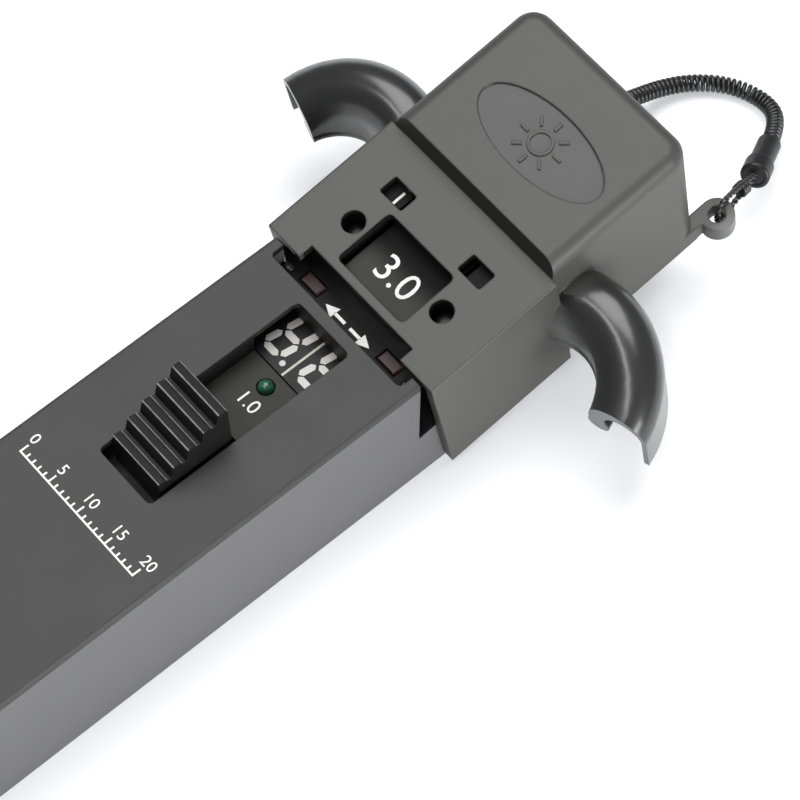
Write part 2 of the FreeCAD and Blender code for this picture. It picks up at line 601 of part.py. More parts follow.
node("display_board", box("display_plate", across("rib_inner + rib_thick"),
                          ("-display_rear - 2 * seat_gap", f"{BULKHEAD} - 2 * seat_gap"),
                          (BOARD_LOW, f"{BOARD_LOW} + board_thick")))
for side, ends in (("left", ("-display_gap / 2 - display_width", "-display_gap / 2")),
                   ("right", ("display_gap / 2", "display_gap / 2 + display_width"))):
    node(f"display_module_{side}", box(f"display_{side}", ends,
                                       ("-display_rear", "display_length - display_rear"),
                                       (f"{SEAT} - display_height", SEAT)))


def lamp(name, x, y):
    """A domed lamp whose collar sits under its panel, and the hole that it needs."""
    low = f"{PANEL_LOW} - lamp_flange_thick"
    rise = "lamp_flange_thick + 0.8 * legend_thick"
    collar = round_bar(f"{name}_collar", "lamp_flange", (x, y, low), "lamp_flange_thick")
    stem = round_bar(f"{name}_stem", "lamp_radius", (x, y, low), rise)
    dome = doc.addObject("Part::Sphere", f"{name}_dome")
    dome.setExpression("Radius", formula("lamp_radius"))
    for axis, place in zip("xyz", (x, y, f"{low} + {rise}")):
        dome.setExpression(f"Placement.Base.{axis}", formula(place))
    dome.Angle1 = 0
    node(name, fused(f"{name}_solid", collar, stem, dome))
    return round_bar(f"{name}_hole", "lamp_radius + seat_gap", (x, y, low), f"{rise} + legend_thick")


def lens(name, x, y):
    """A flat lamp window whose collar sits under its panel, and the hole that it needs."""
    def block(part, grow, heights):
        return box(f"{name}_{part}", (f"{x} - lens_half - {grow}", f"{x} + lens_half + {grow}"),
                   (f"{y} - lens_side - {grow}", f"{y} + lens_side + {grow}"), heights)

    low = f"{PANEL_LOW} - lamp_flange_thick"
    pane = softened(f"{name}_edges", block("pane", "0", (low, f"{SEAT} + lens_over")), size("lens_round"),
                    lambda edge: edge.CenterOfMass.z > size("case_height") - size("recess_depth"))
    node(name, fused(f"{name}_solid", pane, block("collar", "lens_collar", (low, PANEL_LOW))))
    return block("hole", "seat_gap", (PANEL_LOW, f"{SEAT} + legend_thick"))


# Legend tray with the green lamp, and the indicator panel with the two red ones
tray_block = box("tray_block", across("slot_width / 2 + legend_thick"), ("-legend_rear", "-legend_front"),
                 (PANEL_LOW, SPLIT))
tray_room = box("tray_room", across("slot_width / 2"), ("-legend_rear - overrun", "overrun - legend_front"),
                (SEAT, "case_height"))
node("legend_plate", cut("legend_tray", tray_block, tray_room, lamp("tone_led", "0", "-tone_led_back")))
panel = box("panel", across("strip_width / 2 - seat_gap"), (BULKHEAD, "panel_front"), (PANEL_LOW, SEAT))
lamp_holes = [lens(f"{side}_direction_led", f"{sign}direction_led_x", "direction_led_y")
              for side, sign in SIDES]
node("indicator_panel", cut("panel_cut", panel, *lamp_holes))

# Thumb slide with its treads, the carriage with the push rod, and the strip spring behind them
KNOB_REAR = "-knob_front - knob_length"
TREAD_PITCH = "(knob_length - knob_crown - knob_tread) / (knob_treads - 1)"
steps = []
for number in reversed(range(int(size("knob_treads")))):
    level = f"knob_first + {number} * knob_rise"
    edge = f"{KNOB_REAR} + {number} * {TREAD_PITCH}"
    end = (f"{edge} + knob_tread", f"{level} - tread_fall")
    if steps:
        floor = f"{level} - tread_fall - groove_depth"
        steps.append((f"{edge} + {TREAD_PITCH} - riser_lean", floor))
        steps.append((f"{edge} + knob_tread + groove_lean", floor))
    steps += [end, (edge, level)]
node("thumb_slide", outline_body("thumb_form", "YZ_Plane", [
    (KNOB_REAR, CARRIAGE_TOP),
    ("-knob_front", CARRIAGE_TOP),
    *steps,
], "knob_width"))
carriage_plate = box("carriage_plate", across("carriage_width / 2"),
                     (f"{KNOB_REAR} - carriage_over", "-legend_rear - 2 * slide_gap"),
                     (CARRIAGE_LOW, CARRIAGE_TOP))
drop_web = box("drop_web", across("web_width / 2"), ("-web_rear", "web_length - web_rear"),
               ("push_rod_low", CARRIAGE_TOP))
push_rod = box("push_rod", across("push_rod_width / 2"), ("-web_rear", "push_rod_front"),
               ("push_rod_low", "push_rod_low + push_rod_thick"))
push_post = in_head("push_post", box("push_post_block", across("push_rod_width / 2"),
                                     ("push_post_near", "push_post_near + push_post_length"),
                                     ("-push_post_foot", "-adapter_top - adapter_thick")))
node("slide_carriage", fused("carriage_solid", carriage_plate, drop_web, push_rod, push_post))
strip = []
for number in range(int(size("spring_bends")) + 1):
    sign = "-" if number % 2 else ""
    strip.append((f"{sign}spring_radius - spring_strip / 2",
                  f"{SPRING_REAR} + {number} * spring_length / spring_bends"))
other_edge = [(f"{x} + spring_strip", y) for x, y in reversed(strip)]
spring_form = outline_body("spring_form", "XY_Plane", strip + other_edge, "2 * spring_radius")
spring_form.setExpression("Placement.Base.z", formula("spring_level"))
node("return_spring", spring_form)

# Head frame: a block on the case's tongue, with the adapter's channel and the fibre's slot
HEAD_HALF = "hood_block_width / 2 - hood_wall - head_gap"
HEAD_LOW = "2 * head_gap - hood_depth"
TAB_LOW = "-hood_depth - head_gap - tab_thick"
TAB_HOLE = ("-tab_x", "hood_length + tab_over", TAB_LOW)
tab_ends = ("-tab_x - tab_width / 2", "tab_width / 2 - tab_x")
head_block = box("head_block", across(HEAD_HALF), ("head_near", "hood_length - hood_wall - head_gap"),
                 (HEAD_LOW, "-hood_wall - head_gap"))
tab_root = box("tab_root", tab_ends, ("hood_length - tab_root_far", "hood_length - tab_root_near"),
               (TAB_LOW, f"{HEAD_LOW} + root_sink"))
tab_plate = box("tab_plate", tab_ends, ("hood_length - tab_root_far", "hood_length + tab_over"),
                (TAB_LOW, f"{TAB_LOW} + tab_thick"))
tab_round = round_bar("tab_round", "tab_width / 2", TAB_HOLE, "tab_thick")
head_cuts = [
    round_bar("tab_hole", "lug_hole", TAB_HOLE, "tab_thick"),
    box("seat_room", across("hood_width"), ("-overrun", "tongue_end + 2 * seat_gap"),
        ("-hood_depth", "-tongue_top")),
    box("channel", across("channel_width / 2"), ("-overrun", "fibre_slot_y + fibre_slot / 2"),
        ("-channel_depth", "overrun")),
    box("post_room", across(ROD_ROOM), ("-overrun", "push_post_near + push_post_length + overrun"),
        ("-tongue_top - overrun", "0")),
    box("fibre_slot_cut", across("hood_width"), ("fibre_slot_y", "fibre_slot_y + fibre_slot"),
        ("-fibre_slot_depth", "overrun")),
]
SCREW_SEAT = "-head_screw_top - head_screw_head_thick"
DETECTOR_Z = "-fibre_slot_depth + detector_radius + seat_gap"
head_screws = []
for side, sign in SIDES:
    middle = (f"{sign}peep_x", "peep_y")
    thread_end = "-tongue_top - head_screw_bite"
    head_cuts.append(round_bar(f"head_bore_{side}", "head_screw_radius + seat_gap / 3", (*middle, thread_end),
                               "tongue_top"))
    head_cuts.append(round_bar(f"head_sink_{side}", "head_screw_head + seat_gap", (*middle, SCREW_SEAT),
                               "tongue_top"))
    head_cuts.append(round_bar(f"detector_bore_{side}", "detector_radius + seat_gap / 3",
                               (f"{sign}detector_x", "fibre_slot_y + fibre_slot / 2", DETECTOR_Z),
                               "fibre_slot / 2 + detector_length", "y"))
    cap = round_bar(f"head_cap_{side}", "head_screw_head", (*middle, SCREW_SEAT), "head_screw_head_thick")
    shank = round_bar(f"head_shank_{side}", "head_screw_radius", (*middle, thread_end),
                      f"{SCREW_SEAT} - ({thread_end})")
    head_screws.append(fused(f"head_screw_{side}", cap, shank))
    can = round_bar(f"detector_can_{side}", "detector_radius",
                    (f"{sign}detector_x", "fibre_slot_y + fibre_slot", DETECTOR_Z), "detector_length", "y")
    node(f"{side}_detector", in_head(f"detector_{side}", can))
head_solid = fused("head_solid", head_block, tab_root, tab_plate, tab_round)
node("head_frame", cut("head_cut", head_solid, *head_cuts), HEAD)
node("head_screws", in_head("head_screw_pair", *head_screws))

# Adapter: the changeable clamp face with a curved nose, carried by the push rod
adapter_ends = across("adapter_width / 2")
adapter_levels = ("-adapter_top - adapter_thick", "-adapter_top")
NOSE_TIP = "fibre_slot_y + adapter_reach"
adapter_edge = box("adapter_edge", adapter_ends, ("adapter_near", "adapter_body + overrun"),
                   ("-adapter_top - adapter_lip", "-adapter_top"))
NOSE_ROOT = f"{NOSE_TIP} - adapter_nose"
adapter_block = box("adapter_block", adapter_ends, ("adapter_body", NOSE_ROOT), adapter_levels)
nose_block = box("nose_block", adapter_ends, (f"{NOSE_ROOT} - overrun", NOSE_TIP), adapter_levels)
nose_round = round_bar("nose_round", "nose_radius", ("0", f"{NOSE_TIP} - nose_radius", adapter_levels[0]),
                       "adapter_thick")
nose = doc.addObject("Part::Common", "nose")
nose.Base = nose_block
nose.Tool = nose_round
node("adapter_head", fused("adapter_solid", adapter_edge, adapter_block, nose), HEAD)


def wing_section():
    """The wing's section: an arch with two long sides, open below."""
    arch = size("wing_tube")
    bore = size("wing_bore")
    shift = size("wing_bore_shift")
    foot = -size("wing_side")
    return Part.Wire([
        Part.Arc(V(-arch, 0, 0), V(0, arch, 0), V(arch, 0, 0)).toShape(),
        Part.makeLine(V(arch, 0, 0), V(arch, foot, 0)),
        Part.makeLine(V(arch, foot, 0), V(shift + bore, foot, 0)),
        Part.makeLine(V(shift + bore, foot, 0), V(shift + bore, 0, 0)),
        Part.Arc(V(shift + bore, 0, 0), V(shift, bore, 0), V(shift - bore, 0, 0)).toShape(),
        Part.makeLine(V(shift - bore, 0, 0), V(shift - bore, foot, 0)),
        Part.makeLine(V(shift - bore, foot, 0), V(-arch, foot, 0)),
        Part.makeLine(V(-arch, foot, 0), V(-arch, 0, 0)),
    ])


def swept_wing():
    """The section carried, always upright, round a bend that is a circle from above and droops."""
    bend = size("wing_bend")
    climb = V(0, bend, bend * math.tan(math.radians(size("wing_droop"))))
    line = Part.Ellipse(climb, V(-bend, 0, 0), V())
    first = math.radians(size("wing_end") - 90)
    path = Part.ArcOfEllipse(line, first, first + math.radians(size("wing_sweep"))).toShape()
    ahead = path.tangentAt(path.FirstParameter)
    ahead.z = 0
    ahead.normalize()
    section = wing_section()
    section.Placement = FreeCAD.Placement(path.valueAt(path.FirstParameter),
                                          FreeCAD.Rotation(ahead.cross(UP), UP, V(), "XYZ"))
    sweep = Part.BRepOffsetAPI.MakePipeShell(Part.Wire(path))
    sweep.setBiNormalMode(UP)
    sweep.add(section)
    sweep.build()
    sweep.makeSolid()
    return sweep.shape()


# Light hood: one moulding with a raised far part, two drooping wings and a tether lug
plate_block = box("plate_block", across("hood_width / 2"), ("0", "hood_step"), ("-hood_depth", "0"))
plate_part = softened("plate_part", plate_block, size("hood_edge_round"),
                      lambda edge: runs_along(edge, ALONG) and edge.CenterOfMass.z > -NEAR)
block_part = outline_body("block_part", "YZ_Plane", [
    ("hood_step", "-hood_depth"),
    ("hood_length", "-hood_depth"),
    ("hood_length", "step_rise"),
    ("hood_step + step_run", "step_rise"),
    ("hood_step", "0"),
], "hood_block_width")


def rounded_on_block(edge):
    """The raised part's top edges, except the one over the step."""
    middle = edge.CenterOfMass
    return middle.z > size("step_rise") - NEAR and middle.y > size("hood_step") + 2 * size("step_run")


def far_corner(edge):
    """The upright edges at the raised part's far face."""
    return runs_along(edge, UP) and edge.CenterOfMass.y > size("hood_length") - NEAR


rounded_body(block_part, "hood_round", rounded_on_block)
rounded_body(block_part, "hood_corner", far_corner)
wing_arch = doc.addObject("Part::Feature", "wing_arch")
wing_arch.Shape = swept_wing()
wing_arch.Placement.Base = V(size("wing_x"), size("wing_y"), -size("wing_z"))
WING_LOW = "-wing_foot - wing_side"
trim_foot = ("wing_x", "wing_y", WING_LOW)
inner_trim = round_bar("inner_trim", "wing_bend", trim_foot, f"-wing_lip - ({WING_LOW})")
outer_trim = round_bar("outer_trim", "2 * wing_bend", trim_foot, f"-wing_foot - ({WING_LOW})")
wing_lip_ring = doc.addObject("Part::Torus", "wing_lip_ring")
wing_lip_ring.Placement = FreeCAD.Placement(V(), FreeCAD.Rotation(UP, size("wing_end")))
for name, text in (("Radius1", "wing_bend - wing_tube + wing_bead - wing_lip_out"),
                   ("Radius2", "wing_bead"),
                   ("Angle3", "wing_sweep"),
                   ("Placement.Base.x", "wing_x"),
                   ("Placement.Base.y", "wing_y"),
                   ("Placement.Base.z", "-wing_lip")):
    wing_lip_ring.setExpression(name, formula(text))
wing = fused("wing", cut("wing_trimmed", wing_arch, inner_trim, outer_trim), wing_lip_ring)
other_wing = doc.addObject("Part::Mirroring", "other_wing")
other_wing.Source = wing
other_wing.Normal = V(1, 0, 0)
LUG_LOW = "-lug_top - lug_thick"
LUG_HOLE = ("lug_x", "hood_length + lug_over", LUG_LOW)
lug_ring = round_bar("lug_ring", "lug_radius", LUG_HOLE, "lug_thick")
lug_neck = box("lug_neck", ("lug_x - lug_radius", "hood_block_width / 2"),
               ("hood_length - hood_wall", "hood_length + lug_over"), (LUG_LOW, "-lug_top"))
hood_solid = fused("hood_solid", plate_part, block_part, wing, other_wing, lug_ring, lug_neck)

PLATE_CUT = ("-hood_wall - overrun", "overrun")
ROOM_LOW = "-2 * hood_depth"
PORT_MID = "fibre_slot_y + fibre_slot / 2"
hood_cuts = [
    box("near_room", across("hood_width / 2 - hood_wall"), ("-overrun", "hood_step - hood_wall"),
        (ROOM_LOW, "-hood_wall")),
    box("far_room", across("hood_block_width / 2 - hood_wall"), ("hood_step / 2", "hood_length - hood_wall"),
        (ROOM_LOW, "-hood_wall")),
    box("raised_room", across("hood_block_width / 2 - 2 * hood_wall"),
        ("hood_step + step_run + hood_wall", "hood_length - 2 * hood_wall"),
        ("-hood_wall - overrun", "step_rise - hood_wall")),
    box("notch", across("notch_width / 2"), ("-overrun", "notch_depth"), PLATE_CUT),
    rounded_hole("window", across("window_width / 2"), ("window_near", "window_near + window_length"),
                 PLATE_CUT, size("window_radius")),
    box("side_ports", across("hood_block_width / 2 + root_sink"),
        (f"{PORT_MID} - hood_port / 2", f"{PORT_MID} + hood_port / 2"), (ROOM_LOW, "-hood_port_top")),
    round_bar("lug_hole_cut", "lug_hole", LUG_HOLE, "lug_thick"),
]
for side, sign in SIDES:
    hood_cuts.append(round_bar(f"peep_{side}", "peep_radius", (f"{sign}peep_x", "peep_y", PLATE_CUT[0]),
                               "hood_wall + 2 * overrun"))
    port_ends = tuple(f"{sign}port_x {step} port_width / 2" for step in "-+")
    hood_cuts.append(rounded_hole(f"port_{side}", port_ends, ("port_near", "port_near + port_length"),
                                  PLATE_CUT, size("port_radius")))
oval_line = doc.addObject("Part::Ellipse", "oval_line")
oval_line.setExpression("MajorRadius", formula("oval_long"))
oval_line.setExpression("MinorRadius", formula("oval_short"))
for axis, place in zip("xyz", ("oval_x", "oval_y", "step_rise - oval_depth")):
    oval_line.setExpression(f"Placement.Base.{axis}", formula(place))
oval = doc.addObject("Part::Extrusion", "oval")
oval.Base = oval_line
oval.DirMode = "Custom"
oval.Dir = UP
oval.setExpression("LengthFwd", formula("oval_depth + overrun"))
oval.Solid = True
node("light_hood", cut("hood_cut", hood_solid, oval, *hood_cuts), HEAD)

# Tether: a curly cord between two sleeves, each tied on by a loop of thin cord
CORNER_SHARE = 0.45
TETHER_ROUTE = [
    V(10.0, 72.4, 6.0),
    V(7.4, 77.2, 3.8),
    V(2.5, 79.3, 1.7),
    V(-2.9, 77.3, 1.6),
    V(-6.9, 73.0, 1.9),
    V(-8.9, 68.2, 2.7),
    V(-9.1, 64.9, 4.1),
]


def cord(label, points, radius):
    """A round cord of straight runs, joined by an arc at each corner."""
    local = [point - points[0] for point in points]
    pieces = []
    start = local[0]
    for before, corner, after in zip(local, local[1:], local[2:]):
        back = before - corner
        ahead = after - corner
        reach = CORNER_SHARE * min(back.Length, ahead.Length)
        back.normalize()
        ahead.normalize()
        half_turn = (math.pi - back.getAngle(ahead)) / 2
        bend = reach / math.tan(half_turn)
        middle = corner + (back + ahead).normalize() * (math.hypot(reach, bend) - bend)
        print(f"{label} bend radius {bend:.2f}")
        pieces.append(Part.makeLine(start, corner + back * reach))
        pieces.append(Part.Arc(corner + back * reach, middle, corner + ahead * reach).toShape())
        start = corner + ahead * reach
    pieces.append(Part.makeLine(start, local[-1]))
    path = Part.Wire(pieces)
    section = Part.Wire(Part.makeCircle(radius, local[0], local[1] - local[0]))
    item = doc.addObject("Part::Feature", label)
    item.Shape = path.makePipeShell([section], True, False)
    item.Placement = FreeCAD.Placement(points[0], FreeCAD.Rotation())
    node(label, item)
    section_area = math.pi * radius ** 2
    print(f"{label} volume {item.Shape.Volume:.1f} of {section_area * path.Length:.1f}")


def sleeve(label, start, after, length, neck_radius, drum_radius):
    """A sleeve in line with the cord's end run: a neck over the cord, and a drum at its end."""
    ahead = (start - after).normalize()
    neck_length = f"{length} - ferrule_length"
    neck = round_bar(f"{label}_neck", neck_radius, ("0", "0", "0"), neck_length)
    drum = round_bar(f"{label}_drum", drum_radius, ("0", "0", neck_length), "ferrule_length")
    node(label, fused(f"{label}_solid", neck, drum), FreeCAD.Placement(start, FreeCAD.Rotation(UP, ahead)))
    return start + ahead * size(length), ahead


def loop(label, hole, half_thick, rim, sleeve_end, ahead):
    """A loop of thin cord through a hole in the head's frame, round its rim and back to a sleeve."""
    eye = HEAD.multVec(hole)
    normal = HEAD.Rotation.multVec(UP)
    up = normal * (half_thick + size("link_room"))
    out = sleeve_end - eye
    out = (out - normal * out.dot(normal)).normalize() * (rim + size("link_room"))
    spread = (normal - ahead * normal.dot(ahead)).normalize() * size("link_spread")
    strands = []
    for sign in (1, -1):
        rim_point = eye + out + up * sign
        foot = sleeve_end + spread * sign
        lift = size("link_wire") * math.sin(ahead.getAngle(rim_point - foot)) + NEAR
        strands.append([foot + ahead * lift, rim_point, eye + up * sign])
    cord(label, strands[0] + strands[1][::-1], size("link_wire"))


cord("tether_coil", TETHER_ROUTE, size("tether_radius"))
hood_end = sleeve("hood_ferrule", TETHER_ROUTE[0], TETHER_ROUTE[1], "hood_sleeve", "ferrule_neck",
                  "ferrule_radius")
case_end = sleeve("case_ferrule", TETHER_ROUTE[-1], TETHER_ROUTE[-2], "case_sleeve", "tether_radius",
                  "tether_radius")
loop("hood_link", V(size("lug_x"), size("hood_length") + size("lug_over"),
                    -size("lug_top") - size("lug_thick") / 2),
     size("lug_thick") / 2, size("lug_radius"), *hood_end)
loop("case_link", V(-size("tab_x"), size("hood_length") + size("tab_over"),
                    -size("hood_depth") - size("head_gap") - size("tab_thick") / 2),
     size("tab_thick") / 2, size("tab_width") / 2, *case_end)

doc.recompute()
failed = [item.Name for item in doc.Objects if {"Invalid", "Error"} & set(item.State)]
broken = [item.Label for item in nodes if item.Shape.isNull() or not item.Shape.isValid()]
if failed or broken:
    raise RuntimeError(f"failed objects {failed}, broken shapes {broken}")
os.makedirs("parts", exist_ok=True)
for item in nodes:
    item.Shape.exportStep(f"parts/{item.Label}.step")
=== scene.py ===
"""Looks of a hand-held optical fibre identifier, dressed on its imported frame.

Metres, +Z up, +Y towards the head.
"""
import math

import bmesh
import bpy
from mathutils import Matrix, Vector


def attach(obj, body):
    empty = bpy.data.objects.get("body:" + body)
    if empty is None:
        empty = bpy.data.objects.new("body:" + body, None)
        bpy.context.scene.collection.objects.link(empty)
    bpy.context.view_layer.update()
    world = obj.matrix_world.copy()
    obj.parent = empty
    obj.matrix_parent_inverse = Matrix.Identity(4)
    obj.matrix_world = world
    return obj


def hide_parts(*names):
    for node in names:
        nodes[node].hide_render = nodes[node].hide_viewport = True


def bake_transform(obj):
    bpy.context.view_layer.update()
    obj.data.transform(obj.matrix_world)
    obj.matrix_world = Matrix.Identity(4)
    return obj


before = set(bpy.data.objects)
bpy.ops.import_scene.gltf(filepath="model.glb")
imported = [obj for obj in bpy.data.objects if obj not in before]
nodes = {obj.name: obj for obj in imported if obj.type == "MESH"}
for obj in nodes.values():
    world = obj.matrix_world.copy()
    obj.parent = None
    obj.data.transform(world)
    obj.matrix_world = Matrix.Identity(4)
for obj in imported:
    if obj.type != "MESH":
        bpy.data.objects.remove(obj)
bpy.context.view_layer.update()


# Lower case. The real one is a deep tray in dark grey ABS, moulded in one shot with a spark-eroded
# grain. The head's tongue is part of it, and the cover is screwed down on it from below.
MM = 0.001
CASE_GREY = (0.104, 0.104, 0.109, 1)
# Near-black for the seam's hairline, and as painted shade under the hood and in the cover's slot.
SEAM_AND_SHADE_BLACK = (0.008, 0.008, 0.008, 1)
SEAM_LEVEL = 25.8 * MM
SEAM_HALF = 0.12 * MM
GRAIN = 0.16 * MM
CLOUD = 14 * MM
SCUFF = 3 * MM
WEAR_AND_SHEEN_SHARE = 0.6


class Wire:
    """One output of a material's nodes. Sums on it add Math nodes."""

    def __init__(self, finish, socket):
        self.finish = finish
        self.socket = socket

    def sum(self, operation, first, second=0.0):
        return self.finish.add("ShaderNodeMath", {"operation": operation}, {0: first, 1: second})

    def __add__(self, other):
        return self.sum("ADD", self, other)

    def __sub__(self, other):
        return self.sum("SUBTRACT", self, other)

    def __mul__(self, other):
        return self.sum("MULTIPLY", self, other)

    def __truediv__(self, other):
        return self.sum("DIVIDE", self, other)

    def __rsub__(self, other):
        return self.sum("SUBTRACT", other, self)

    def __gt__(self, other):
        return self.sum("GREATER_THAN", self, other)

    def __lt__(self, other):
        return self.sum("LESS_THAN", self, other)

    def __abs__(self):
        return self.sum("ABSOLUTE", self)

    __radd__ = __add__
    __rmul__ = __mul__

    def most(self, other):
        """The larger of two values."""
        return self.sum("MAXIMUM", self, other)

    def ramp(self, low, high, start=0.0, end=1.0):
        """The value carried smoothly from one range to another."""
        return self.finish.add("ShaderNodeMapRange", {"interpolation_type": "SMOOTHSTEP"},
                               {"Value": self, "From Min": low, "From Max": high,
                                "To Min": start, "To Max": end})


class Finish:
    """A material: a Principled shader and the nodes that feed it."""

    def __init__(self, name, plain):
        self.material = bpy.data.materials.new(name)
        self.material.use_nodes = True
        self.tree = self.material.node_tree
        self.shader = self.tree.nodes["Principled BSDF"]
        self.feed(plain)

    def put(self, socket, value):
        if isinstance(value, Wire):
            self.tree.links.new(value.socket, socket)
        else:
            socket.default_value = value

    def add(self, kind, settings, values, output=0):
        """Any node: its type, its settings, and the values or links of its sockets."""
        made = self.tree.nodes.new(kind)
        for key, value in settings.items():
            setattr(made, key, value)
        for key, value in values.items():
            self.put(made.inputs[key], value)
        return Wire(self, made.outputs[output])

    def feed(self, values):
        for key, value in values.items():
            self.put(self.shader.inputs[key], value)

    def place(self):
        """Where a point is on the piece, in metres."""
        return self.add("ShaderNodeTexCoord", {}, {}, "Object")

    def facing(self, kind="Normal"):
        """The way that a face looks."""
        return self.add("ShaderNodeNewGeometry", {}, {}, kind)

    def axes(self, vector=None):
        split = self.tree.nodes.new("ShaderNodeSeparateXYZ")
        self.put(split.inputs[0], vector or self.place())
        return [Wire(self, output) for output in split.outputs]

    def noise(self, grain, detail=3.0):
        """Soft noise whose spots are about one grain across, in metres."""
        return self.add("ShaderNodeTexNoise", {},
                        {"Vector": self.place(), "Scale": 1 / grain, "Detail": detail})

    def mix(self, share, first, second):
        """Two colours mixed by a share."""
        return self.add("ShaderNodeMix", {"data_type": "RGBA"}, {0: share, 6: first, 7: second}, 2)

    def softened(self, radius):
        """The way that a face looks, with its edges rounded by a radius."""
        return self.add("ShaderNodeBevel", {"samples": 6}, {"Radius": radius})

    def marked(self):
        """High on the faces that are marked for edge wear and painted highlight."""
        return self.add("ShaderNodeAttribute", {"attribute_name": "wear_sheen"}, {}, "Fac")

    def edges(self, radius):
        """High along the piece's sharp edges and on its marked faces, where edges are painted
        lighter as wear and as highlight; zero elsewhere.
        """
        cosine = self.add("ShaderNodeVectorMath", {"operation": "DOT_PRODUCT"},
                          {0: self.softened(radius), 1: self.facing()}, "Value")
        return (1 - cosine).ramp(0.01, 0.2).most(self.marked())

    def bumped(self, height, depth, radius):
        """A surface normal raised by a height, on edges that are softened by a radius."""
        return self.add("ShaderNodeBump", {}, {"Height": height, "Strength": 1.0, "Distance": depth,
                                               "Normal": self.softened(radius)})


def tinted(colour, share):
    """A colour made darker or lighter by a share."""
    return tuple(min(channel * share, 1) for channel in colour[:3]) + (1,)


def moulded_plastic(name, colour, rough, depth=0.012 * MM, edge=0.25 * MM, worn=1.5, shine=0.42):
    """Moulded plastic: eroded grain, faint clouds of colour, and edges painted lighter, partly as
    wear and partly as painted highlight.
    """
    finish = Finish(name, {"Specular IOR Level": shine})
    clouds = finish.noise(CLOUD, 4.0)
    specks = finish.noise(GRAIN, 2.0)
    # Edges painted lighter: partly wear, partly painted highlight.
    wear_and_sheen = finish.edges(edge) * finish.noise(SCUFF).ramp(0.35, 0.7)
    pale = tinted(colour, worn)
    body = finish.mix(clouds * 0.6 + specks * 0.4, tinted(colour, 0.9), tinted(colour, 1.1))
    uneven = (clouds - 0.5) * 0.12 + specks * 0.08
    finish.feed({"Base Color": finish.mix(wear_and_sheen * WEAR_AND_SHEEN_SHARE, body, pale),
                 "Roughness": uneven + (rough - 0.04) - wear_and_sheen * 0.1,
                 "Normal": finish.bumped(specks, depth, edge)})
    return finish, body, wear_and_sheen, pale


def with_seam(made, shade_mask):
    """The same plastic with the dark hairline between cover and case, and painted shade in
    near-black where a mask is high.
    """
    finish, body, wear_and_sheen, pale = made
    line = abs(finish.axes()[2] - SEAM_LEVEL) < SEAM_HALF
    outside = finish.mix(wear_and_sheen * WEAR_AND_SHEEN_SHARE, body, pale)
    finish.feed({"Base Color": finish.mix(line.most(shade_mask(finish)), outside, SEAM_AND_SHADE_BLACK)})
    return finish.material


def case_inside(finish):
    """Painted shade: high on the tongue's upper faces, which lie in the shade under the hood."""
    return (finish.axes()[1] > 0) * (finish.axes(finish.facing())[2] > 0.5)


def painted(mesh, material):
    """Gives a mesh one material."""
    mesh.materials.clear()
    mesh.materials.append(material)


def dressed(node, material):
    """A CAD node that keeps its shape and gets a finish."""
    painted(nodes[node].data, material)


dressed("lower_case", with_seam(moulded_plastic("case_abs", CASE_GREY, rough=0.5), case_inside))


# Top cover. A flat ABS plate in a darker grey, with the slot for the works and a notch at the head.
# Its top edges are broken by a small bevel, and four screws from below draw it down.
COVER_GREY = (0.029, 0.029, 0.0285, 1)
COVER_TOP = 27.0 * MM
COVER_BEVEL = 0.14 * MM
SLOT_SIDE = 14.2 * MM
SLOT_LIP = 0.2 * MM
TINY = 0.01 * MM


def merged_copy(node):
    """A bmesh of a CAD node with its triangles joined and its flats cleared of inner edges."""
    shape = bmesh.new()
    shape.from_mesh(nodes[node].data)
    bmesh.ops.remove_doubles(shape, verts=shape.verts, dist=0.002 * MM)
    bmesh.ops.dissolve_limit(shape, angle_limit=math.radians(0.4), verts=shape.verts,
                             edges=shape.edges)
    return shape


def linked(name, data):
    """An object that shows a mesh, curve, light or camera."""
    made = bpy.data.objects.new(name, data)
    bpy.context.scene.collection.objects.link(made)
    return made


def plain_mesh(holder):
    """The mesh of an object with its modifiers, text or curve worked out."""
    depsgraph = bpy.context.evaluated_depsgraph_get()
    return bpy.data.meshes.new_from_object(holder.evaluated_get(depsgraph))


def worked_in(made):
    """Works an object's modifiers into its mesh."""
    made.data = plain_mesh(made)
    made.modifiers.clear()


def piece(name, shape, material, smooth=35):
    """An object from a bmesh, shaded smooth except at its sharp edges."""
    shape.normal_update()
    for face in shape.faces:
        face.smooth = True
    for edge in shape.edges:
        edge.smooth = edge.is_manifold and edge.calc_face_angle() < math.radians(smooth)
    mesh = bpy.data.meshes.new(name)
    shape.to_mesh(mesh)
    shape.free()
    painted(mesh, material)
    made = linked(name, mesh)
    weigh = made.modifiers.new("flat_faces", "WEIGHTED_NORMAL")
    weigh.keep_sharp = True
    worked_in(made)
    return made


def bevelled(shape, width, choose, segments=2):
    """Rounds the outer edges that are chosen, and marks the new faces for painted edge highlight
    and wear.
    """
    mark = shape.faces.layers.float.new("wear_sheen")
    chosen = [edge for edge in shape.edges if edge.is_manifold and edge.is_convex
              and edge.calc_face_angle() > math.radians(30) and choose(edge)]
    rounded = bmesh.ops.bevel(shape, geom=chosen, offset=width, offset_type="OFFSET",
                              segments=segments, profile=0.5, affect="EDGES", clamp_overlap=True)
    for face in rounded["faces"]:
        face[mark] = 1.0
    return shape


def on_cover_top(edge):
    """Whether an edge lies on the cover's top face."""
    return all(abs(corner.co.z - COVER_TOP) < TINY for corner in edge.verts)


def cover_inside(finish):
    """Painted shade: high on the walls of the slot and the notch, which lie in shade."""
    across, _, height = finish.axes()
    return (height < COVER_TOP - SLOT_LIP) * (abs(across) < SLOT_SIDE)


cover_shape = bevelled(merged_copy("top_cover"), COVER_BEVEL, on_cover_top)
cover_plastic = with_seam(moulded_plastic("cover_abs", COVER_GREY, rough=0.52, worn=1.35),
                          cover_inside)
cover = piece("cover_plate", cover_shape, cover_plastic)
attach(cover, "case")
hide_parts("top_cover")


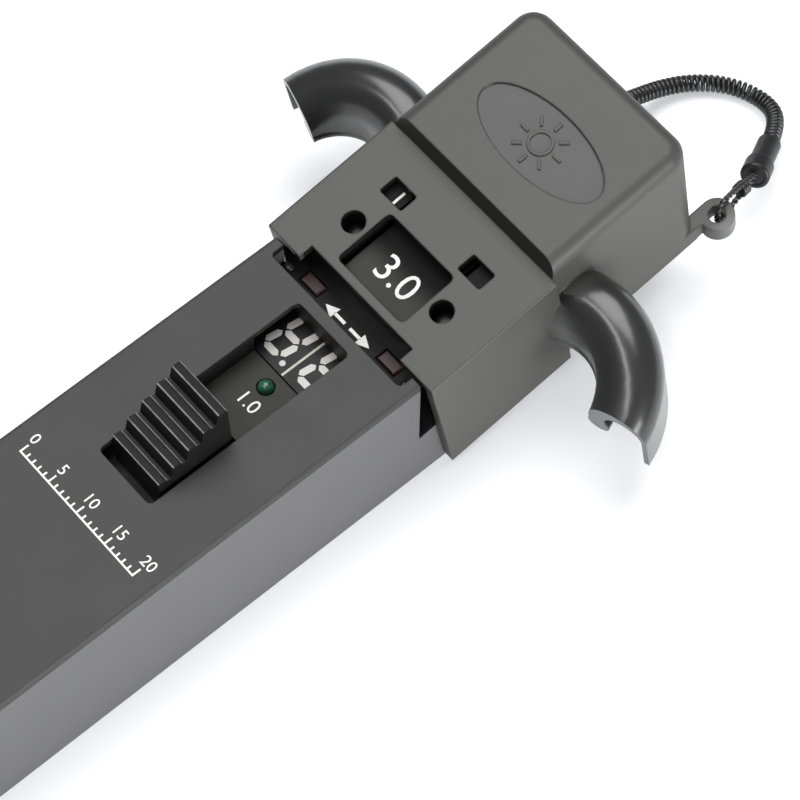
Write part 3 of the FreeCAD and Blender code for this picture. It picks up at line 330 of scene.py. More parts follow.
# Printed scale on the cover. White screen ink, a few hundredths of a millimetre thick: a row of
# plain numbers over a ruled line, for measuring the bared fibre.
INK_WHITE = (0.93, 0.93, 0.91, 1)
INK_THICK = 0.02 * MM
INK_LINE = 0.13 * MM
DIGIT_SHARE = 0.72
SCALE_Y = -47.2 * MM
SCALE_HALF = 12.0 * MM
SCALE_STEPS = 20
NUMBER_EVERY = 5
NUMBER_HIGH = 1.7 * MM
NUMBER_UP = 2.7 * MM
TICK_LONG = 1.5 * MM
TICK_SHORT = 0.9 * MM


def screen_ink(name, colour):
    """Screen ink: slightly uneven cover and a soft shine."""
    finish = Finish(name, {"Specular IOR Level": 0.4})
    thin = finish.noise(0.5 * MM).ramp(0.3, 0.7)
    finish.feed({"Base Color": finish.mix(thin, tinted(colour, 0.86), colour),
                 "Roughness": thin * 0.15 + 0.4})
    return finish.material


white_ink = screen_ink("white_ink", INK_WHITE)


def lettered(name, text, height, place):
    """Plain numbers as a thin raised mesh in white ink, with their middle at a place."""
    words = bpy.data.curves.new(name, "FONT")
    words.body = text
    words.size = height / DIGIT_SHARE
    words.align_x = "CENTER"
    words.align_y = "CENTER"
    words.extrude = INK_THICK / 2
    words.resolution_u = 4
    holder = linked(name, words)
    mesh = plain_mesh(holder)
    bpy.data.objects.remove(holder)
    mesh.transform(place)
    painted(mesh, white_ink)
    return linked(name, mesh)


def oblong(left, near, right, far):
    """The four corners of an oblong."""
    return [(left, near), (right, near), (right, far), (left, far)]


def flat_outline(shape, corners, low, high, place=Matrix()):
    """Adds a flat plate with an outline, between two heights."""
    rings = [[shape.verts.new(place @ Vector((x, y, z))) for x, y in corners] for z in (low, high)]
    shape.faces.new(rings[0][::-1])
    shape.faces.new(rings[1])
    for step in range(len(corners)):
        after = (step + 1) % len(corners)
        shape.faces.new((rings[0][step], rings[0][after], rings[1][after], rings[1][step]))


scale_lines = bmesh.new()
flat_outline(scale_lines, oblong(-SCALE_HALF, SCALE_Y, SCALE_HALF, SCALE_Y + 2 * INK_LINE),
             COVER_TOP, COVER_TOP + INK_THICK)
for step in range(SCALE_STEPS + 1):
    tick_x = (2 * step / SCALE_STEPS - 1) * (SCALE_HALF - INK_LINE)
    tick_top = SCALE_Y + (TICK_SHORT if step % NUMBER_EVERY else TICK_LONG)
    tick = oblong(tick_x - INK_LINE, SCALE_Y + INK_LINE, tick_x + INK_LINE, tick_top)
    flat_outline(scale_lines, tick, COVER_TOP, COVER_TOP + 1.5 * INK_THICK)
cover_print = [piece("scale_lines", scale_lines, white_ink)]
for number in range(0, SCALE_STEPS + 1, NUMBER_EVERY):
    number_x = (2 * number / SCALE_STEPS - 1) * SCALE_HALF
    spot = Matrix.Translation((number_x, SCALE_Y + NUMBER_UP, COVER_TOP + INK_THICK / 2))
    cover_print.append(lettered(f"scale_number_{number}", str(number), NUMBER_HIGH, spot))
for mark in cover_print:
    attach(mark, "case")


# Battery bay. A nine volt block in a printed steel jacket, its moulded snap connector, and a door
# that slides out at the tail. The door is the same ABS as the case and has five finger grooves.
BAND_FROM = -112.0 * MM
BAND_TO = -111.5 * MM
JACKET_DARK = (0.03, 0.03, 0.035, 1)
JACKET_GOLD = (0.42, 0.30, 0.10, 1)
CLIP_BLACK = (0.02, 0.02, 0.02, 1)


def bare_plastic(*settings, **more):
    """Moulded plastic with nothing added to it."""
    return moulded_plastic(*settings, **more)[0].material


dressed("battery_door", bare_plastic("door_abs", CASE_GREY, rough=0.5))
jacket = Finish("battery_jacket", {"Metallic": 0.6})
jacket_band = jacket.axes()[1].ramp(BAND_FROM, BAND_TO)
jacket.feed({"Base Color": jacket.mix(jacket_band, JACKET_DARK, JACKET_GOLD),
             "Roughness": jacket.noise(4 * MM) * 0.3 + 0.2})
dressed("battery", jacket.material)
dressed("battery_clip", bare_plastic("clip_black", CLIP_BLACK, rough=0.45))


# Boards. Green glass-fibre laminate under solder mask, with copper tracks that show as lighter
# lines. Chips, a capacitor and a sounder stand on the main board, which is held on four posts.
BOARD_TOP = 7.6
CHIPS_FROM = 7.61 * MM
CHIPS_TO = 15 * MM
MASK_DARK = (0.010, 0.075, 0.028, 1)
MASK_TRACK = (0.022, 0.13, 0.05, 1)
CHIP_BLACK = (0.015, 0.015, 0.016, 1)
SOLDER_DARK = (0.55, 0.55, 0.56, 1)
SOLDER_LIGHT = (0.72, 0.72, 0.70, 1)
JOINT = [(0, -0.2), (0.45, -0.2), (0.62, 0), (0.4, 0.28), (0.25, 0.6), (0.2, 0.75), (0, 0.8)]
JOINT_X = 6.9
JOINT_FROM = -83.5
JOINT_PITCH = 2.54
JOINTS_IN_ROW = 12
laminate = Finish("board_laminate", {"Specular IOR Level": 0.5, "Coat Weight": 0.4,
                                     "Coat Roughness": 0.15})
lanes = laminate.add("ShaderNodeTexWave", {"wave_type": "BANDS", "bands_direction": "X"},
                     {"Vector": laminate.place(), "Scale": 180.0, "Distortion": 6.0,
                      "Detail Scale": 40.0}, "Fac")
mask_green = laminate.mix(lanes.ramp(0.55, 0.6), MASK_DARK, MASK_TRACK)
board_z = laminate.axes()[2]
chips = (board_z > CHIPS_FROM) * (board_z < CHIPS_TO)
laminate.feed({"Base Color": laminate.mix(chips, mask_green, CHIP_BLACK),
               "Roughness": lanes * 0.1 + 0.3})
dressed("main_board", laminate.material)
dressed("display_board", laminate.material)

solder = Finish("solder_tin", {"Metallic": 1.0})
solder.feed({"Base Color": solder.mix(solder.noise(0.6 * MM), SOLDER_DARK, SOLDER_LIGHT),
             "Roughness": solder.noise(0.4 * MM) * 0.25 + 0.18})


def repeated(name, unit, spots, material):
    """Copies of one small shape on a set of spots, by a node tree with named inputs."""
    tree = bpy.data.node_groups.new(f"{name}_copies", "GeometryNodeTree")
    for label, kind, way in (("Spots", "NodeSocketGeometry", "INPUT"),
                             ("Unit", "NodeSocketObject", "INPUT"),
                             ("Finish", "NodeSocketMaterial", "INPUT"),
                             ("Copies", "NodeSocketGeometry", "OUTPUT")):
        tree.interface.new_socket(label, in_out=way, socket_type=kind)
    into = tree.nodes.new("NodeGroupInput")
    out = tree.nodes.new("NodeGroupOutput")
    source = tree.nodes.new("GeometryNodeObjectInfo")
    turn = tree.nodes.new("GeometryNodeInputNamedAttribute")
    turn.data_type = "FLOAT_VECTOR"
    turn.inputs["Name"].default_value = "turn"
    copies = tree.nodes.new("GeometryNodeInstanceOnPoints")
    plain = tree.nodes.new("GeometryNodeRealizeInstances")
    paint = tree.nodes.new("GeometryNodeSetMaterial")
    for start, end in ((into.outputs["Spots"], copies.inputs["Points"]),
                       (into.outputs["Unit"], source.inputs["Object"]),
                       (source.outputs["Geometry"], copies.inputs["Instance"]),
                       (turn.outputs["Attribute"], copies.inputs["Rotation"]),
                       (copies.outputs["Instances"], plain.inputs["Geometry"]),
                       (plain.outputs["Geometry"], paint.inputs["Geometry"]),
                       (into.outputs["Finish"], paint.inputs["Material"]),
                       (paint.outputs["Geometry"], out.inputs["Copies"])):
        tree.links.new(start, end)
    grid = bpy.data.meshes.new(f"{name}_spots")
    grid.from_pydata([spot.to_translation() for spot in spots], [], [])
    turns = grid.attributes.new("turn", "FLOAT_VECTOR", "POINT")
    for row, spot in zip(turns.data, spots):
        row.vector = spot.to_euler()
    holder = linked(f"{name}_holder", grid)
    work = holder.modifiers.new("copies", "NODES")
    work.node_group = tree
    given = {"Unit": unit, "Finish": material}
    for socket in tree.interface.items_tree:
        if socket.name in given:
            work[socket.identifier] = given[socket.name]
    mesh = plain_mesh(holder)
    mesh.name = name
    for leftover in (holder, unit):
        bpy.data.objects.remove(leftover)
    return linked(name, mesh)


def ring(shape, radius, height, turns, place):
    """A ring of corners about an axis, or one corner where the radius is zero."""
    if radius == 0:
        return [shape.verts.new(place @ Vector((0, 0, height)))]
    angles = [math.tau * step / turns for step in range(turns)]
    return [shape.verts.new(place @ Vector((radius * math.cos(angle), radius * math.sin(angle),
                                            height))) for angle in angles]


def lathe(shape, profile, turns, place=Matrix()):
    """Adds a closed turned form from (radius, height) pairs whose ends lie on the axis."""
    rings = [ring(shape, radius, height, turns, place) for radius, height in profile]
    for lower, upper in zip(rings, rings[1:]):
        for step in range(turns):
            after = (step + 1) % turns
            corners = [lower[step % len(lower)], lower[after % len(lower)],
                       upper[after % len(upper)], upper[step % len(upper)]]
            shape.faces.new(list(dict.fromkeys(corners)))


def in_mm(pairs):
    """Pairs of millimetres as metres."""
    return [(first * MM, second * MM) for first, second in pairs]


def at_mm(x, y, z):
    """A place given in millimetres."""
    return Matrix.Translation(Vector((x, y, z)) * MM)


def turned(name, profile, turns, material):
    """A turned form as an object of its own, from a profile in millimetres."""
    shape = bmesh.new()
    lathe(shape, in_mm(profile), turns)
    return piece(name, shape, material)


joint_unit = turned("joint_unit", JOINT, turns=10, material=solder.material)
joint_spots = [at_mm(x, JOINT_FROM + JOINT_PITCH * step, BOARD_TOP) for x in (-JOINT_X, JOINT_X)
               for step in range(JOINTS_IN_ROW)]
joints = repeated("solder_joints", joint_unit, joint_spots, solder.material)
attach(joints, "case")


# Digit modules. Two black epoxy blocks side by side, each with seven pale diffuser bars and a round
# point. They plug into the display board and show through the slot, with a light line between them.
DISPLAY_TOP = 22.5 * MM
DIGIT_X = 3.55
DIGIT_Y = -7.15
DIGIT_SLANT = math.radians(9)
BAR_LONG = 1.40
BAR_HALF = 0.53
BAR_POINT = 0.50
BAR_SIDE = BAR_LONG - BAR_POINT
BAR_LOW = -0.05 * MM
BAR_HIGH = 0.04 * MM
MILK_DEEP = (0.0006, 0.0006, 0.0005)
BARS = {"top": (0, 3.3, 90), "upper_left": (-1.62, 1.68, 0), "upper_right": (1.62, 1.68, 0),
        "middle": (0, 0, 90), "lower_left": (-1.62, -1.68, 0), "lower_right": (1.62, -1.68, 0),
        "bottom": (0, -3.3, 90)}
POINT = [(0, -0.05), (0.46, -0.05), (0.46, 0.02), (0.40, 0.05), (0, 0.07)]
POINT_ASIDE = 2.2
POINT_Y = -10.75
LINE_HALF = 0.17
LINE_NEAR = -12.0
LINE_FAR = -2.2
LINE_DEEP = 0.3 * MM
LINE_PROUD = 0.03 * MM
LINE_CREAM = (0.62, 0.58, 0.50, 1)


def two_tone(name, plain, grain, dark, light, rough, spread=0.2):
    """A finish whose colour and roughness drift together between two tones."""
    finish = Finish(name, plain)
    drift = finish.noise(grain)
    finish.feed({"Base Color": finish.mix(drift, dark, light), "Roughness": drift * spread + rough})
    return finish.material


epoxy = two_tone("display_epoxy", {"Specular IOR Level": 0.2}, grain=1.5 * MM, rough=0.3,
                 dark=(0.006, 0.006, 0.007, 1), light=(0.012, 0.012, 0.013, 1))
for side in ("left", "right"):
    dressed(f"display_module_{side}", epoxy)
diffuser = two_tone("bar_diffuser", {"Subsurface Weight": 0.15, "Subsurface Radius": MILK_DEEP},
                    grain=0.9 * MM, rough=0.4,
                    dark=(0.58, 0.57, 0.535, 1), light=(0.70, 0.69, 0.65, 1))
bar_shape = bmesh.new()
bar_outline = [(-BAR_HALF, -BAR_SIDE), (0, -BAR_LONG), (BAR_HALF, -BAR_SIDE),
               (BAR_HALF, BAR_SIDE), (0, BAR_LONG), (-BAR_HALF, BAR_SIDE)]
flat_outline(bar_shape, in_mm(bar_outline), BAR_LOW, BAR_HIGH)
bar_unit = piece("bar_unit", bar_shape, diffuser)
bar_spots = []
for digit_x in (-DIGIT_X, DIGIT_X):
    for bar_x, bar_y, turn in BARS.values():
        slanted_x = digit_x + bar_x + bar_y * math.tan(DIGIT_SLANT)
        middle = Vector((slanted_x, DIGIT_Y + bar_y, 0)) * MM + Vector((0, 0, DISPLAY_TOP))
        lean = math.radians(turn) - (0 if turn else DIGIT_SLANT)
        bar_spots.append(Matrix.Translation(middle) @ Matrix.Rotation(lean, 4, "Z"))
digits = repeated("digit_bars", bar_unit, bar_spots, diffuser)
point_unit = turned("point_unit", POINT, turns=20, material=diffuser)
point_spots = [at_mm(digit_x + POINT_ASIDE, POINT_Y, 22.5) for digit_x in (-DIGIT_X, DIGIT_X)]
points = repeated("digit_points", point_unit, point_spots, diffuser)
seam_shape = bmesh.new()
flat_outline(seam_shape, in_mm(oblong(-LINE_HALF, LINE_NEAR, LINE_HALF, LINE_FAR)),
             DISPLAY_TOP - LINE_DEEP, DISPLAY_TOP + LINE_PROUD)
seam = piece("digit_seam", seam_shape, screen_ink("seam_cream", LINE_CREAM))
for mark in (digits, points, seam):
    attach(mark, "case")


# Legend tray and indicator panel. Printed film on thin moulded trays, set below the cover's top.
# The green lamp stands in the tray and two red ones in the panel, each held by its collar from
# below. The printing is white screen ink: a number at the lamp and two arrows on the panel.
FILM_DARK = (0.017, 0.0163, 0.015, 1)
FILM_LIGHT = (0.023, 0.0223, 0.0205, 1)
FILM_WALL_SHADE = (0.006, 0.006, 0.006, 1)
PANEL_BLACK = (0.005, 0.005, 0.005, 1)
LAMP_FOOT = 22.2 * MM
TONE_HIGH = 2.2 * MM
TONE_AT = (0.2, -18.1, 22.51)
ARROW_TIP = [(4.6, -0.3), (2.6, 0.7), (2.6, -1.3)]
ARROW_SHAFT = oblong(0.5, -0.55, 2.7, -0.05)
film = Finish("legend_film", {"Specular IOR Level": 0.35})
film_tooth = film.noise(0.25 * MM, 2.0)
# Painted shade: the film's walls, which do not face up, are darkened.
film_wall_shade = film.axes(film.facing("True Normal"))[2] < 0.5
film_face = film.mix(film.noise(5 * MM), FILM_DARK, FILM_LIGHT)
film.feed({"Base Color": film.mix(film_wall_shade, film_face, FILM_WALL_SHADE),
           "Roughness": film_tooth * 0.15 + 0.5,
           "Normal": film.bumped(film_tooth, 0.01 * MM, 0.1 * MM)})
dressed("legend_plate", film.material)
dressed("indicator_panel", bare_plastic("panel_abs", PANEL_BLACK, rough=0.5, shine=0.15))


def lamp_resin(name, deep, bright, top, rough, coat):
    """Tinted lamp resin: clear over a darker cup, its colour stronger towards the crown."""
    finish = Finish(name, {"Transmission Weight": 0.25, "IOR": 1.5, "Coat Weight": coat,
                           "Coat Roughness": 0.08})
    crown = finish.axes()[2].ramp(LAMP_FOOT, top)
    cloudy = crown * finish.noise(1.2 * MM).ramp(0.2, 0.8)
    finish.feed({"Base Color": finish.mix(cloudy, deep, bright),
                 "Roughness": finish.noise(0.5 * MM) * 0.1 + rough})
    return finish.material


green_resin = lamp_resin("lamp_green", top=23.5 * MM, rough=0.1, coat=0.4,
                         deep=(0.008, 0.060, 0.034, 1), bright=(0.05, 0.24, 0.14, 1))
red_resin = lamp_resin("lamp_red", top=22.7 * MM, rough=0.42, coat=0.0,
                       deep=(0.018, 0.003, 0.004, 1), bright=(0.055, 0.011, 0.013, 1))
dressed("tone_led", green_resin)
for side in ("left", "right"):
    dressed(f"{side}_direction_led", red_resin)
tone_number = lettered("tone_number", "1.0", TONE_HIGH, at_mm(*TONE_AT))
arrow_shape = bmesh.new()
for sign in (-1, 1):
    for part in (ARROW_TIP, ARROW_SHAFT):
        flat_outline(arrow_shape, in_mm([(sign * x, y) for x, y in part]),
                     DISPLAY_TOP, DISPLAY_TOP + INK_THICK)
bmesh.ops.recalc_face_normals(arrow_shape, faces=arrow_shape.faces)
arrows = piece("flow_arrows", arrow_shape, white_ink)
for mark in (tone_number, arrows):
    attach(mark, "case")


# Thumb slide. A stepped knob in near-black ABS, pushed towards the head with the thumb. Five ribs
# cross its back, each with a rounded crest painted much lighter as a highlight, patchy like wear
# from the thumb. It snaps on the carriage below, which a steel spring draws back.
KNOB_BLACK = (0.009, 0.009, 0.009, 1)
KNOB_BEVEL = 0.16 * MM
CARRIAGE_BLACK = (0.016, 0.016, 0.017, 1)


def across(edge):
    """Whether an edge crosses from side to side."""
    first, second = (corner.co for corner in edge.verts)
    return abs(first.x - second.x) > 0.9 * (first - second).length


knob_shape = bevelled(merged_copy("thumb_slide"), KNOB_BEVEL, across, segments=3)
knob_finish, knob_body, _, knob_pale = moulded_plastic(
    "knob_abs", KNOB_BLACK, rough=0.36, depth=0.006 * MM, edge=0.06 * MM, worn=27.0, shine=0.16)
# Painted highlight along the marked crests, broken up like wear.
knob_sheen_and_wear = knob_finish.marked() * knob_finish.noise(1.6 * MM).ramp(0.25, 0.6, 0.45, 1.0)
knob_finish.feed({"Base Color": knob_finish.mix(knob_sheen_and_wear, knob_body, knob_pale)})
knob = piece("thumb_knob", knob_shape, knob_finish.material)
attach(knob, "slide")
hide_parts("thumb_slide")
dressed("slide_carriage", bare_plastic("carriage_black", CARRIAGE_BLACK, rough=0.45))
spring_steel = two_tone("spring_steel", {"Metallic": 1.0}, grain=0.8 * MM, rough=0.22,
                        dark=(0.42, 0.42, 0.43, 1), light=(0.58, 0.58, 0.58, 1))
dressed("return_spring", spring_steel)


# Head frame. A black moulded block screwed on the case's tongue, with the adapter's channel and the
# fibre's slot. Two light detectors in metal cans look into that slot, and the adapter presses the
# fibre against them.
HEAD_PIVOT = 27.4 * MM
HEAD_TILT = math.radians(9.7)
HEAD = Matrix.Translation((0, 0, HEAD_PIVOT)) @ Matrix.Rotation(HEAD_TILT, 4, "X")
HEAD_BLACK = (0.006, 0.006, 0.006, 1)
ADAPTER_GREY = (0.054, 0.0545, 0.053, 1)
ADAPTER_SHADE_DARK = (0.003, 0.003, 0.003, 1)
ADAPTER_BEVEL = 0.2 * MM
SHADE_FROM = 6.6 * MM
SHADE_TO = 11.6 * MM
SIZE_HIGH = 4.2 * MM
SIZE_AT = (0.2, 8.0, -2.69)
PORT_LINE = oblong(-8.5, 14.9, -8.1, 17.1)
PORT_LINE_LOW = -2.01 * MM
PORT_LINE_HIGH = -1.97 * MM
dressed("head_frame", bare_plastic("head_black", HEAD_BLACK, rough=0.5, shine=0.12))
adapter_shape = bevelled(merged_copy("adapter_head"), ADAPTER_BEVEL, lambda edge: True)
adapter_finish, adapter_body, _, _ = moulded_plastic("adapter_grey", ADAPTER_GREY, rough=0.5,
                                                     shine=0.08)
# Painted shade: the adapter's face darkens towards its far side, deep in the window.
adapter_shade = adapter_finish.axes()[1].ramp(SHADE_FROM, SHADE_TO)
adapter_finish.feed({"Base Color": adapter_finish.mix(adapter_shade, adapter_body, ADAPTER_SHADE_DARK)})
adapter = piece("clamp_adapter", adapter_shape, adapter_finish.material)
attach(adapter, "slide")
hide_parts("adapter_head")
size_number = lettered("adapter_number", "3.0", SIZE_HIGH, HEAD @ at_mm(*SIZE_AT))
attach(size_number, "slide")
# A thin white line in the left port, in white ink.
port_line_shape = bmesh.new()
flat_outline(port_line_shape, in_mm(PORT_LINE), PORT_LINE_LOW, PORT_LINE_HIGH, HEAD)
index_line = piece("index_line", port_line_shape, white_ink)
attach(index_line, "case")
can = two_tone("detector_can", {"Metallic": 1.0}, grain=0.5 * MM, rough=0.2, spread=0.15,
               dark=(0.55, 0.50, 0.36, 1), light=(0.66, 0.60, 0.44, 1))
for side in ("left", "right"):
    dressed(f"{side}_detector", can)


# Screws. Pan heads with a cross recess. Four in bright zinc hold the cover from below, two in black
# zinc hold the head, and two small black ones hold the indicator panel at its ends.
COVER_SCREW_X = 11.25
COVER_SCREW_Y = (-19.0, -88.5)
COVER_SCREW_Z = 0.42
HEAD_SCREW = (9.2, 8.75, -4.42)
PANEL_SCREW = (12.3, -0.4, 22.5)


def cross_screw(name, radius, height, material):
    """A domed head with a cross cut into it, its underside on zero."""
    shape = bmesh.new()
    dome = [(0, 0), (1, 0), (1, 0.35), (0.9, 0.7), (0.65, 0.93), (0.55, 1), (0, 1)]
    lathe(shape, [(radius * out, height * up) for out, up in dome], turns=40)
    head = piece(name, shape, material)
    blade = bmesh.new()
    for long, wide, floor_share in ((0.6, 0.13, 0.45), (0.13, 0.6, 0.46)):
        corners = oblong(-long * radius, -wide * radius, long * radius, wide * radius)
        flat_outline(blade, corners, height * floor_share, height * 1.4)
    bmesh.ops.recalc_face_normals(blade, faces=blade.faces)
    cutter = piece(f"{name}_blade", blade, material)
    carve = head.modifiers.new("cross", "BOOLEAN")
    carve.operation = "DIFFERENCE"
    carve.object = cutter
    carve.solver = "EXACT"
    worked_in(head)
    bpy.data.objects.remove(cutter)
    return head


zinc = two_tone("screw_zinc", {"Metallic": 1.0}, grain=0.7 * MM, rough=0.28,
                dark=(0.34, 0.34, 0.35, 1), light=(0.48, 0.48, 0.48, 1))
black_zinc = two_tone("screw_black", {"Metallic": 0.8}, grain=0.5 * MM, rough=0.25,
                      dark=(0.03, 0.03, 0.03, 1), light=(0.07, 0.07, 0.07, 1))
dressed("cover_screws", zinc)
dressed("head_screws", black_zinc)
from_below = Matrix.Rotation(math.pi, 4, "X")
cover_spots = [at_mm(sign * COVER_SCREW_X, y, COVER_SCREW_Z) @ from_below for sign in (-1, 1)
               for y in COVER_SCREW_Y]
head_spots = [HEAD @ at_mm(sign * HEAD_SCREW[0], *HEAD_SCREW[1:]) for sign in (-1, 1)]
panel_spots = [at_mm(sign * PANEL_SCREW[0], *PANEL_SCREW[1:]) for sign in (-1, 1)]
for group, radius, height, spots, plating in (
        ("cover_screw_caps", 1.85 * MM, 0.4 * MM, cover_spots, zinc),
        ("head_screw_caps", 1.55 * MM, 0.7 * MM, head_spots, black_zinc),
        ("panel_screw_caps", 0.85 * MM, 0.6 * MM, panel_spots, black_zinc)):
    cap_unit = cross_screw(f"{group}_unit", radius, height, plating)
    caps = repeated(group, cap_unit, spots, plating)
    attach(caps, "case")


# Light hood. One ABS moulding that drops over the head and keeps stray light off the fibre: a
# grained plate with a window and holes, a raised far part with a sunk oval, and two smooth wings
# that lead the fibre out.
HOOD_GREY = (0.060, 0.060, 0.056, 1)
HOOD_SHADE_DARK = (0.009, 0.009, 0.009, 1)
OVAL_GREY = (0.054, 0.054, 0.056, 1)
WING_DARK = (0.017, 0.017, 0.0175, 1)
WING_LIGHT = (0.024, 0.024, 0.0245, 1)
HOOD_BEVEL = 0.16 * MM
PLATE_FAR = 22.5 * MM
NEAR_SIDE = 10 * MM
BLOCK_HALF = 16.15 * MM
BLOCK_RISE = 3 * MM
HOOD_FAR = 48.6 * MM
HOOD_WALL = 1.6 * MM
CORNER_ROUND = 3.4 * MM
CORNER_CAST = 0.8 * MM
CORNER_STEPS = 10
LUG_TOP = -23.1 * MM
LUG_LEDGE = 0.15 * MM
OVAL_AT = (1.0 * MM, 34.4 * MM)
OVAL_HALF = (11.6 * MM, 5.2 * MM)
OVAL_OVER = 30 * MM
STEP_OVER = 25 * MM
HOLE_UNDER = -0.14 * MM
HOLE_SIDE = 15.7 * MM
HOLE_NEAR = 0.7 * MM
HOLE_FAR = 46.5 * MM
WING_ROOT = 16.9 * MM
WING_FREE = 19.5 * MM
to_head = HEAD.inverted()


def on_plate(edge):
    """Whether an edge lies on the plate's top face, or runs down from its near corners."""
    ends = [to_head @ corner.co for corner in edge.verts]
    flat = all(abs(end.z) < 2 * TINY and end.y < PLATE_FAR for end in ends)
    near = all(abs(end.y) < 2 * TINY and abs(end.x) > NEAR_SIDE for end in ends)
    return flat or near


def sliced(shape, choose, spot, normal):
    """Cuts the chosen faces with a plane that is given in the head's frame."""
    parts = [part for face in shape.faces if choose(face)
             for part in (*face.verts, *face.edges, face)]
    bmesh.ops.bisect_plane(shape, geom=list(dict.fromkeys(parts)), dist=0.0005 * MM,
                           plane_co=HEAD @ Vector(spot),
                           plane_no=HEAD.to_3x3() @ Vector(normal))


def cast_reach(angle):
    """How far the cast far corner reaches from the new corner's middle, at an angle."""
    wide = max(math.cos(angle), math.sin(angle))
    inner = CORNER_ROUND - CORNER_CAST
    if CORNER_ROUND * min(math.cos(angle), math.sin(angle)) / wide <= inner:
        return CORNER_ROUND / wide
    share = inner * (math.cos(angle) + math.sin(angle))
    return share + math.sqrt(share * share - 2 * inner * inner + CORNER_CAST * CORNER_CAST)


def in_hollow(spot):
    """Whether a point of the head's frame is on the hood's inner walls."""
    return any(spot.z < top + TINY and abs(spot.x) < BLOCK_HALF - wall + TINY
               and spot.y < HOOD_FAR - wall + TINY
               for top, wall in ((-HOOD_WALL, HOOD_WALL), (BLOCK_RISE - HOOD_WALL, 2 * HOOD_WALL)))


def rounded_far_corners(shape):
    """Draws the raised part's far corners in to a wide round, down to the lug."""
    middle_x, middle_y = BLOCK_HALF - CORNER_ROUND, HOOD_FAR - CORNER_ROUND

    def beyond(face):
        return any((to_head @ corner.co).y > middle_y + TINY for corner in face.verts)

    def in_corner(face, side=None):
        spot = to_head @ face.calc_center_median()
        return (abs(spot.x) if side is None else side * spot.x) > middle_x and spot.y > middle_y

    sliced(shape, beyond, (0, middle_y, 0), (0, 1, 0))
    for sign in (-1, 1):
        sliced(shape, beyond, (sign * middle_x, 0, 0), (1, 0, 0))
    for sign in (-1, 1):
        for step in range(1, CORNER_STEPS):
            angle = math.pi / 2 * step / CORNER_STEPS
            sliced(shape, lambda face: in_corner(face, sign), (sign * middle_x, middle_y, 0),
                   (-sign * math.sin(angle), math.cos(angle), 0))
    for height in (LUG_TOP, LUG_TOP + LUG_LEDGE):
        sliced(shape, lambda face: in_corner(face, 1), (0, 0, height), (0, 0, 1))
    for corner in shape.verts:
        spot = to_head @ corner.co
        out_x, out_y = abs(spot.x) - middle_x, spot.y - middle_y
        if min(out_x, out_y) <= 0 or spot.y > HOOD_FAR + TINY or in_hollow(spot):
            continue
        fade = 1 if spot.x < 0 else min(1, max(0, (spot.z - LUG_TOP) / LUG_LEDGE))
        draw = 1 + fade * (CORNER_ROUND / cast_reach(math.atan2(out_y, out_x)) - 1)
        new_x = math.copysign(middle_x + out_x * draw, spot.x)
        corner.co = HEAD @ Vector((new_x, middle_y + out_y * draw, spot.z))
    bmesh.ops.triangulate(shape, faces=[face for face in shape.faces
                                        if in_corner(face) and len(face.verts) > 3])


hood_shape = bevelled(merged_copy("light_hood"), HOOD_BEVEL, on_plate)
rounded_far_corners(hood_shape)
hood_finish, hood_body, hood_wear_and_sheen, hood_pale = moulded_plastic("hood_abs", HOOD_GREY, rough=0.5,
                                                                 worn=1.6)
hood_x, hood_y, hood_z = hood_finish.axes()
hood_along = hood_y * math.cos(HEAD_TILT) + (hood_z - HEAD_PIVOT) * math.sin(HEAD_TILT)
hood_height = (hood_z - HEAD_PIVOT) * math.cos(HEAD_TILT) - hood_y * math.sin(HEAD_TILT)
oval_across = (hood_x - OVAL_AT[0]) / OVAL_HALF[0]
oval_along = (hood_along - OVAL_AT[1]) / OVAL_HALF[1]
in_oval = (oval_across * oval_across + oval_along * oval_along < 1) * (hood_z > OVAL_OVER)
# Painted shade: the step face and the walls of the holes are darkened.
hood_facing = hood_finish.axes(hood_finish.facing("True Normal"))
step_face = (hood_facing[1] < -0.5) * (hood_z > STEP_OVER)
hole_wall = ((hood_height < HOLE_UNDER) * (abs(hood_x) < HOLE_SIDE)
             * (hood_along > HOLE_NEAR) * (hood_along < HOLE_FAR))
in_shade = (step_face * 0.9).most(hole_wall)
wing_share = abs(hood_x).ramp(WING_ROOT, WING_FREE)
hood_grain = hood_finish.noise(GRAIN, 2.0)
wing_black = hood_finish.mix(hood_finish.noise(6 * MM), WING_DARK, WING_LIGHT)
hood_flat = hood_finish.mix(in_oval * 0.8, hood_body, OVAL_GREY)
# The hood's edges painted lighter, as wear and as painted highlight.
hood_worn = hood_finish.mix(hood_wear_and_sheen * WEAR_AND_SHEEN_SHARE, hood_flat, hood_pale)
hood_shade = hood_finish.mix(in_shade, hood_worn, HOOD_SHADE_DARK)
hood_tooth = hood_grain * (1 - wing_share * 0.92)
hood_finish.feed({"Base Color": hood_finish.mix(wing_share, hood_shade, wing_black),
                  "Coat Weight": wing_share * 0.9, "Coat Roughness": 0.21,
                  "Roughness": hood_grain * 0.08 + 0.40 - wing_share * 0.12 - in_oval * 0.05,
                  "Normal": hood_finish.bumped(hood_tooth, 0.014 * MM, 0.4 * MM)})
hood = piece("hood_moulding", hood_shape, hood_finish.material, smooth=30)
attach(hood, "hood")
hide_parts("light_hood")


